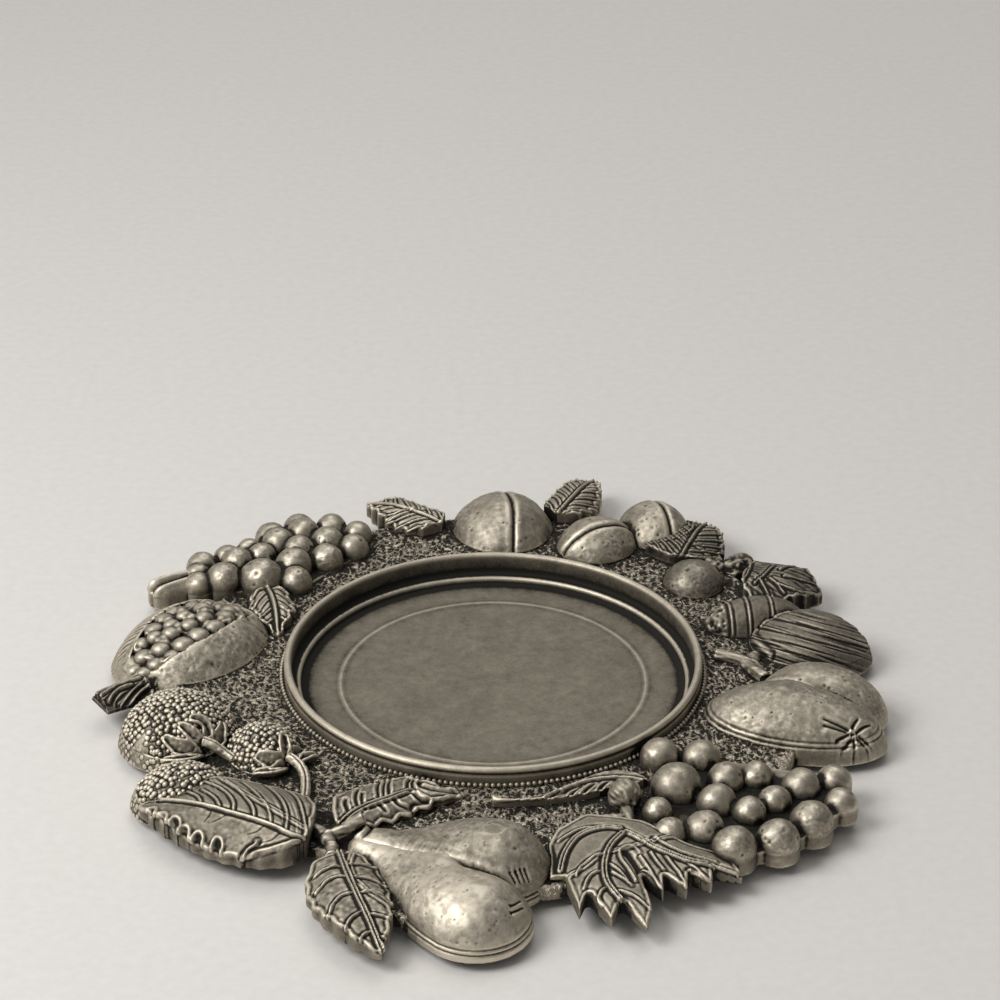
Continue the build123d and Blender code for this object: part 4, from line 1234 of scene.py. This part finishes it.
class COASTER_OT_calyxes(bpy.types.Operator):
    """Curled sepals and grooved stems of two strawberries"""

    bl_idname = "coaster.calyxes"
    bl_label = "Calyxes"

    def execute(self, context):
        finish = pewter("calyx pewter")
        for node, seat, fruit, sepals, stem in (
            (
                "strawberry_large_calyx",
                Seat(24.8, -159.9, 150),
                (13.4, 12.8, 8.0),
                [
                    ([(-10.2, 5.8), (-8.9, 6.0), (-7.2, 6.4), (-4.8, 6.5)], 0.9, 0.5),
                    ([(-10.4, 5.5), (-10.1, 3.3), (-8.4, 2.6), (-6.1, 4.4)], 0.8, 0.9),
                    ([(-10.7, 5.5), (-11.7, 2.8), (-11.5, 0.6), (-10.3, -1.2)], 0.75, 0.5),
                    ([(-10.1, 6.1), (-8.4, 8.4), (-6.0, 9.7), (-2.9, 9.6)], 0.85, 0.5),
                    ([(-10.3, 6.3), (-9.6, 9.2), (-8.1, 11.3), (-4.9, 12.8)], 0.7, 0.6),
                ],
                [
                    (-10.0, 5.8, 3.7), (-11.6, 5.3, 3.4), (-13.2, 4.9, 2.4),
                    (-14.8, 4.5, 1.4), (-16.8, 4.6, 0.8),
                ],
            ),
            (
                "strawberry_small_calyx",
                Seat(12.6, -145.6, 110),
                (9.6, 8.2, 5.6),
                [
                    ([(-7.9, -3.1), (-6.0, -3.2), (-3.0, -3.7)], 1.0, 0.5),
                    ([(-7.8, -3.5), (-5.8, -5.7), (-4.0, -7.5)], 0.65, 0.4),
                    ([(-8.0, -3.7), (-7.0, -6.7), (-6.3, -9.5)], 0.8, 0.3),
                    ([(-8.2, -2.7), (-8.6, 0.5), (-6.4, 3.4)], 1.1, 0.4),
                    ([(-8.5, -2.7), (-10.2, 1.2), (-8.8, 4.6)], 0.7, 0.6),
                ],
                [
                    (-7.8, -3.2, 3.0), (-9.8, -4.4, 2.8), (-13.2, -5.0, 1.9),
                    (-17.0, -4.1, 1.2), (-20.5, -2.7, 0.9),
                ],
            ),
        ):
            parts = [
                sepal(f"sepal_{index}", seat, fruit, line, width, lift)
                for index, (line, width, lift) in enumerate(sepals)
            ]
            course = [(*seat.place(along, across), GROUND + rise) for along, across, rise in stem]
            parts.append(tube("stem", course, radius=1.1, taper=0.95))
            piece = join(node + "_curled", parts)
            even(piece, 0.18, 1)
            points, _ = skin(piece)
            along, across = seat.local(points)
            route = [place[:2] for place in stem]
            gap, share = beside(route, along, across)
            groove = ramp(share, 0.05, 0.15) * (gap < 1.4)
            press(piece, 0.1 * noise(points, 0.7, 91) - 0.45 * groove * ridge(gap, 0.25))
            settle(piece, node, finish, gain=1.3)
        return {"FINISHED"}


class COASTER_OT_pomegranate(bpy.types.Operator):
    """Split pomegranate: two lobes of skin, the seeds, and the crown"""

    bl_idname = "coaster.pomegranate"
    bl_label = "Pomegranate"

    def execute(self, context):
        seat = Seat(21.2, 171.2, 50)
        piece = cast("pomegranate", 0.28, 2)
        points, relief = fruity(piece, 101, pit_count=110, waves=0.44, size=0.42, depth=0.2)
        along, across = seat.local(points)
        hatch = np.sin((along + 0.6 * across) * 2 * pi / 1.5 + 1.5 * noise(points, 3.0, 102))
        relief += 0.16 * hatch * ramp(across, 6.5, 8.0)
        press(piece, relief)
        settle(piece, "pomegranate", pewter("rind pewter"))

        core = cast("pomegranate_seeds", 0.26, 20)
        points, normals = skin(core)
        put(core, points - normals * ramp(normals[:, 2], 0.2, 0.7)[:, None])
        parts = [core]
        alone()
        for along, across, size in (
            (8.9, -1.9, 1.0), (6.3, -3.4, 1.0), (1.6, -5.0, 1.05), (-3.0, -4.9, 1.1), (-7.1, -4.3, 1.1),
            (-10.4, -4.2, 0.9), (5.2, 1.8, 1.0), (2.0, -1.5, 0.95), (-0.1, 2.3, 0.8), (-2.2, -1.2, 0.9),
            (0.5, 6.0, 0.95), (-2.9, 5.6, 1.0), (-4.2, 2.0, 0.85), (-6.4, 0.2, 0.9), (-6.6, 5.0, 1.05),
            (-8.6, 2.6, 0.9), (-10.6, -1.0, 1.0), (-13.4, -2.3, 1.0), (-16.2, -1.6, 0.85), (-13.2, 1.4, 1.05),
            (-10.6, 4.7, 0.95), (-17.0, 0.9, 0.8), (9.8, 1.4, 0.9), (5.2, 5.0, 0.85), (-14.2, 3.4, 0.8),
            (12.4, -0.6, 0.8), (9.2, 4.4, 0.75),
        ):
            room = (15.5**2) * (1 - (along / 19.7) ** 2) - across**2
            x, y = seat.place(along, across) * MM
            bpy.ops.mesh.primitive_uv_sphere_add(
                segments=28,
                ring_count=16,
                radius=2.0 * size * MM,
                location=(x, y, (GROUND - 9.0 + sqrt(max(room, 100.0))) * MM),
                rotation=(0, 0, radians(8 * sin(along * 5))),
                scale=(1.15, 1.0, 0.85),
            )
            parts.append(bpy.context.object)
        seeds = join("pomegranate_seeds_set", parts)
        even(seeds, 0.22, 1)
        points, _ = skin(seeds)
        press(seeds, hammered(points, 103, 0.16))
        settle(seeds, "pomegranate_seeds", pewter("seed pewter"))

        crown = cast("pomegranate_crown", 0.2, 2)
        points, _ = skin(crown)
        along, across = Seat(29.3, -173.8, -146).local(points)
        ribs = [
            [(3.9, 0.7), (6.5, 0.2), (8.6, 1.0), (10.2, 2.2)],
            [(2.1, 1.4), (4.1, 2.0), (6.1, 2.9), (8.2, 3.6)],
            [(1.0, 2.5), (3.7, 3.0), (6.1, 3.9), (8.4, 4.4)],
            [(1.4, -0.6), (4.5, -1.4), (7.5, -1.2), (10.8, -0.2)],
            [(1.0, -2.4), (4.5, -2.9), (8.0, -2.8), (11.0, -2.2)],
        ]
        relief = drawn(along, across, ribs, 0.36, 0.6, 0.6) + 0.5 * ridge(along - 0.7, 0.4)
        relief += 0.12 * noise(points, 1.0, 105) - 0.2
        press(crown, relief)
        settle(crown, "pomegranate_crown", pewter("dark pewter"))
        return {"FINISHED"}


class COASTER_OT_grapes(bpy.types.Operator):
    """Two bunches of grapes"""

    bl_idname = "coaster.grapes"
    bl_label = "Grapes"

    def execute(self, context):
        finish = pewter("grape pewter")
        for node, seat, radius, grapes, seed in (
            ("grapes_back", Seat(23.5, 140.6, 36), 3.3, BACK_GRAPES, 111),
            ("grapes_front", Seat(26.7, -45.9, -46), 3.6, FRONT_GRAPES, 121),
        ):
            piece = bunched(node + "_bunch", seat, radius, 2.0, grapes)
            _, relief = fruity(piece, seed, pit_count=60, waves=0.26, size=0.42, depth=0.22)
            press(piece, relief)
            settle(piece, node, finish)
        return {"FINISHED"}


class COASTER_OT_grape_bud(bpy.types.Operator):
    """Folded bud at the outer end of the back grapes"""

    bl_idname = "coaster.grape_bud"
    bl_label = "Grape bud"

    def execute(self, context):
        piece = cast("grape_bud", 0.25, 2)
        points, _ = skin(piece)
        along, across = Seat(34.3, 154.0, 20).local(points)
        fold = across - 0.9 * np.sin(along / 4.0)
        relief = -1.1 * ridge(fold, 0.8) + 0.4 * ridge(np.abs(fold) - 1.6, 0.6) + hammered(points, 131, 0.15)
        press(piece, relief)
        settle(piece, "grape_bud", pewter("smooth pewter"))
        return {"FINISHED"}


class COASTER_OT_stone_fruit(bpy.types.Operator):
    """Peach and plums at the back, each with its crease"""

    bl_idname = "coaster.stone_fruit"
    bl_label = "Peach and plums"

    def execute(self, context):
        finish = pewter("smooth pewter")
        for node, seat, seed in (
            ("peach", Seat(17.5, 88.0, 100), 141),
            ("plum_outer", Seat(26.5, 58.6, 110), 143),
            ("plum_inner", Seat(14.0, 66.0, 25), 145),
        ):
            piece = cast(node, 0.32, 4)
            points, relief = fruity(piece, seed, pit_count=50, waves=0.26, size=0.34, depth=0.16)
            along, across = seat.local(points)
            crease = across + 2.0 * np.cos(along / 9.0)
            relief += -0.55 * ridge(crease, 0.5) + 0.12 * ridge(np.abs(crease) - 1.3, 0.8)
            press(piece, relief)
            settle(piece, node, finish)
        return {"FINISHED"}


class COASTER_OT_apple_and_berries(bpy.types.Operator):
    """Apple and the cluster of berries beside it"""

    bl_idname = "coaster.apple_and_berries"
    bl_label = "Apple and berries"

    def execute(self, context):
        piece = cast("apple", 0.28, 3)
        _, relief = fruity(piece, 151, pit_count=14, waves=0.24, size=0.45, depth=0.2)
        press(piece, relief)
        settle(piece, "apple", pewter("polished pewter"))
        piece = cast("berries", 0.26, 2)
        points, _ = skin(piece)
        press(piece, 0.5 * noise(points, 1.7, 153) + 0.25 * noise(points, 0.9, 154))
        settle(piece, "berries", pewter("dark pewter"))
        return {"FINISHED"}


class COASTER_OT_nuts(bpy.types.Operator):
    """Almond with its long furrows and acorn with its scaly cup"""

    bl_idname = "coaster.nuts"
    bl_label = "Nuts"

    def execute(self, context):
        finish = pewter("nut pewter")
        piece = cast("almond", 0.22, 2)
        points, _ = skin(piece)
        along, across = Seat(24.8, 8.7, -8).local(points)
        slope = 0.52 * points[:, 1] + 0.85 * points[:, 2] + 0.3 * points[:, 0]
        local = np.column_stack((along, slope, along))
        relief = 0.36 * noise(local, (9.0, 0.5, 50.0), 161) + 0.22 * noise(local, (6.0, 0.3, 50.0), 162)
        rim = [(-8.0, -7.8), (-10.3, -5.3), (-12.3, -1.4), (-11.7, 0.4)]
        rim += [(-9.6, 1.9), (-7.1, 3.0), (-4.6, 3.5)]
        relief = np.minimum(relief, 0.1) + drawn(along, across, [rim], 0.4, 0.35, 0.35)
        press(piece, relief)
        settle(piece, "almond", finish)
        piece = cast("acorn", 0.22, 2)
        points, _ = skin(piece)
        along, across = Seat(16.2, 18.6, 10).local(points)
        lean = along - 0.06 * across
        cup = ramp(-lean, 6.6, 7.4)
        relief = cup * (0.3 + 0.55 * noise(points, 1.5, 163) + 0.3 * noise(points, 0.8, 164))
        for ring in (-6.1, -2.2, 3.1):
            relief += 0.26 * ridge(lean - ring, 0.24) - 0.1 * ridge(np.abs(lean - ring) - 0.6, 0.26)
        relief += (1 - cup) * hammered(points, 165, 0.24)
        press(piece, relief)
        settle(piece, "acorn", finish)
        return {"FINISHED"}


class COASTER_OT_quinces(bpy.types.Operator):
    """Two quinces, the front one with its star of sepals"""

    bl_idname = "coaster.quinces"
    bl_label = "Quinces"

    def execute(self, context):
        finish = pewter("smooth pewter")
        seat = Seat(21.6, -18.8, -16)
        star = [
            [(12.4, -5.3), (9.8, -5.4), (7.3, -5.4)],
            [(12.2, -5.7), (10.0, -6.2), (7.5, -6.5)],
            [(13.2, -4.4), (13.4, -3.3), (13.8, -2.0)],
            [(14.2, -4.8), (15.1, -3.1), (16.3, -1.3)],
            [(12.7, -5.9), (11.5, -7.0), (10.4, -7.8)],
            [(13.5, -6.3), (12.5, -7.6), (11.7, -8.5)],
            [(13.9, -6.1), (14.3, -6.8), (14.2, -7.6)],
            [(14.6, -5.4), (15.9, -5.4), (16.9, -5.5)],
            [(14.9, -5.0), (16.2, -4.8), (17.3, -4.7)],
            [(13.3, -5.6), (13.9, -5.2)],
        ]
        piece, back = cast("quince_front", 0.26, 4), cast("quince_back", 0.3, 4)
        for fruit, gap in zip((piece, back), seam(piece, back)):
            mended(fruit, gap, ramp(seat.local(skin(fruit)[0])[0], 5.0, -3.0), 0.8, -0.3)
        points, relief = fruity(piece, 171, pit_count=70, waves=0.34, size=0.32, depth=0.16)
        along, across = seat.local(points)
        relief += drawn(along, across, star, 0.4, -0.8, -0.12)
        band = points[:, 2] - GROUND
        relief += -0.22 * ridge(band - 0.9, 0.25) - 0.18 * ridge(band - 1.9, 0.25)
        press(piece, relief)
        settle(piece, "quince_front", finish)
        _, relief = fruity(back, 173, pit_count=45, waves=0.3, size=0.34, depth=0.16)
        press(back, relief)
        settle(back, "quince_back", finish)
        return {"FINISHED"}


class COASTER_OT_twigs(bpy.types.Operator):
    """Grooved twigs that tie the fruit together"""

    bl_idname = "coaster.twigs"
    bl_label = "Twigs"

    def execute(self, context):
        finish = pewter("leaf pewter")
        for node, heading, seed in (("pear_twig", 0, 181), ("nut_twig", -30, 183), ("vine_twig", -64, 185)):
            piece = cast(node, 0.2, 1)
            points, _ = skin(piece)
            along, across = Seat(0, 0, heading).local(points)
            local = np.column_stack((along, across, points[:, 2]))
            press(piece, noise(local, (5.0, 0.75, 0.75), seed) * 0.28 + hammered(points, seed + 1, 0.12))
            settle(piece, node, finish)
        return {"FINISHED"}


class COASTER_OT_patina(bpy.types.Operator):
    """Works out how rubbed or hollow each place is, paints shade where neighbouring pieces or higher ground
    stand round it, and keeps both as an attribute of each piece
    """

    bl_idname = "coaster.patina"
    bl_label = "Patina"

    def execute(self, context):
        pieces = [piece for piece in context.scene.objects if piece.get("patina", 0.0) > 0]
        if not pieces:
            raise RuntimeError("there is no piece to give a patina")
        cell, half = 0.4, 110.0
        count = int(2 * half / cell)
        heights = np.zeros((count, count))

        def cells(places):
            """Row and column of plan places on the grid of heights."""
            column, row = np.clip(((places + half) / cell).astype(int), 0, count - 1).T
            return row, column

        worked = []
        for piece in pieces:
            points, normals = skin(piece)
            row, column = cells(points[:, :2])
            np.maximum.at(heights, (row, column), points[:, 2])
            worked.append((piece, points, normals, row, column))
        filled = heights.copy()
        for step_row in (-1, 0, 1):
            for step_column in (-1, 0, 1):
                filled = np.maximum(filled, np.roll(heights, (step_row, step_column), (0, 1)) - 0.15)
        heights = np.where(heights > 0, heights, filled)
        # Plan heights blurred at three reaches, used below for the painted shade
        around = [(reach, blurred(heights, round(reach / cell))) for reach in (0.8, 2.0, 5.0)]
        for piece, points, normals, row, column in worked:
            average = averaged(piece)
            soft, relief, done = points.copy(), np.zeros(len(points)), 0
            for rounds, amount, weight in ((3, 0.05, 0.35), (12, 0.14, 0.4), (45, 0.35, 0.3)):
                for _ in range(rounds - done):
                    soft = 0.5 * soft + 0.5 * average(soft)
                done = rounds
                height = ((points - soft) * normals).sum(1)
                relief += weight * np.clip(height / amount, -1.5, 1.2)
            # Painted shade: a vertex lower than the blurred plan heights round it, between pieces or beside
            # taller ones, is darkened as if shaded
            painted_shade = np.zeros(len(points))
            for (reach, blur), weight in zip(around, (0.3, 0.5, 0.5)):
                painted_shade += weight * np.clip((blur[row, column] - points[:, 2]) / reach - 0.1, 0, 1)
            # Painted shade on side walls: darker where the plan heights in front of the wall stand above it
            lean = np.hypot(normals[:, 0], normals[:, 1])
            ahead = normals[:, :2] / np.maximum(lean, 1e-6)[:, None]
            painted_wall_shade = np.zeros(len(points))
            for reach, weight in ((1.2, 0.4), (3.0, 0.5), (6.0, 0.4)):
                standing = heights[cells(points[:, :2] + ahead * reach)]
                painted_wall_shade += weight * np.clip((standing - points[:, 2]) / reach - 0.1, 0, 1)
            wall = ramp(lean, 0.4, 0.85)
            painted_shade = painted_shade * (1 - wall) + painted_wall_shade * wall
            # The stored value mixes patina and rubbing from the relief with the painted shade; upward faces
            # come out a little lighter
            facing = 0.1 * np.clip(normals[:, 2], -1, 1)
            worn = np.clip(0.5 + facing + 0.55 * piece["patina"] * relief - 1.1 * painted_shade, 0, 1)
            layer = piece.data.attributes.new("patina", "FLOAT", "POINT")
            layer.data.foreach_set("value", worn.astype(np.float32))
        return {"FINISHED"}


class COASTER_OT_stage(bpy.types.Operator):
    """Pale floor, soft lights and the camera"""

    bl_idname = "coaster.stage"
    bl_label = "Stage"

    def execute(self, context):
        scene = context.scene
        alone()
        bpy.ops.mesh.primitive_grid_add(x_subdivisions=4, y_subdivisions=4, size=6.0)
        floor = context.object
        floor.name = floor.data.name = "floor"
        floor.data.materials.append(pale_floor())

        for name, place, size, power in (
            ("key", (-0.44, -0.21, 0.52), 0.36, 3.1),
            ("overhead", (0.05, 0.6, 1.2), 0.9, 3.8),
        ):
            light = bpy.data.lights.new(name, "AREA")
            light.size = size
            light.energy = power
            lamp = bpy.data.objects.new(name, light)
            lamp.location = place
            scene.collection.objects.link(lamp)
            lamp.rotation_euler = (-lamp.location).to_track_quat("-Z", "Y").to_euler()
        world = bpy.data.worlds.new("studio")
        world.use_nodes = True
        wiring = Wiring(world.node_tree)
        split = wiring.node("SeparateXYZ", {"Vector": wiring.node("TexCoord", {}).outputs["Generated"]})
        glow = {"Value": split.outputs["X"], "From Min": -1.0, "To Min": 0.50, "To Max": 0.14}
        sky = wiring.nodes["Background"]
        wiring.feed(sky.inputs["Strength"], wiring.node("MapRange", glow).outputs["Result"])
        sky.inputs["Color"].default_value = (1.0, 0.985, 0.96, 1)
        scene.world = world

        picture, sensor = 1000.0, 36.0
        distance, elevation, focal, centre = 0.6899, radians(31.354), 3202.5, (493.07, 653.84)
        camera = bpy.data.cameras.new("camera")
        camera.sensor_width = sensor
        camera.lens = focal * sensor / picture
        camera.shift_x = (picture / 2 - centre[0]) / picture
        camera.clip_start = 0.01
        holder = bpy.data.objects.new("camera", camera)
        holder.location = (0, -distance * cos(elevation), distance * sin(elevation) + RIM_TOP * MM)
        holder.rotation_euler = (pi / 2 - elevation + atan((centre[1] - picture / 2) / focal), 0, 0)
        scene.collection.objects.link(holder)
        scene.camera = holder
        scene.view_settings.view_transform = "Standard"
        return {"FINISHED"}


OPERATORS = (
    COASTER_OT_felt_pad,
    COASTER_OT_dish,
    COASTER_OT_ground_plate,
    COASTER_OT_beads,
    COASTER_OT_pears,
    COASTER_OT_leaves,
    COASTER_OT_front_leaves,
    COASTER_OT_feather_leaf,
    COASTER_OT_vine_leaf,
    COASTER_OT_tendril_leaf,
    COASTER_OT_strawberries,
    COASTER_OT_calyxes,
    COASTER_OT_pomegranate,
    COASTER_OT_grapes,
    COASTER_OT_grape_bud,
    COASTER_OT_stone_fruit,
    COASTER_OT_apple_and_berries,
    COASTER_OT_nuts,
    COASTER_OT_quinces,
    COASTER_OT_twigs,
    COASTER_OT_patina,
    COASTER_OT_stage,
)


class COASTER_PT_panel(bpy.types.Panel):
    """Pieces of the coaster, in the order they are made"""

    bl_idname = "COASTER_PT_panel"
    bl_label = "Garland Coaster"
    bl_space_type = "VIEW_3D"
    bl_region_type = "UI"
    bl_category = "Coaster"

    def draw(self, context):
        for group in (context.scene.coaster_sizes, context.scene.coaster_finish):
            for label in group.__annotations__:
                self.layout.prop(group, label)
        for operator in OPERATORS:
            self.layout.operator(operator.bl_idname)


CLASSES = (CoasterSizes, CoasterFinish, *OPERATORS, COASTER_PT_panel)


def register():
    for kind in CLASSES:
        bpy.utils.register_class(kind)
    bpy.types.Scene.coaster_sizes = PointerProperty(type=CoasterSizes)
    bpy.types.Scene.coaster_finish = PointerProperty(type=CoasterFinish)


def unregister():
    del bpy.types.Scene.coaster_finish
    del bpy.types.Scene.coaster_sizes
    for kind in reversed(CLASSES):
        bpy.utils.unregister_class(kind)


def main():
    register()
    for operator in OPERATORS:
        getattr(bpy.ops.coaster, operator.bl_idname.split(".")[1])()


if __name__ == "__main__":
    main()
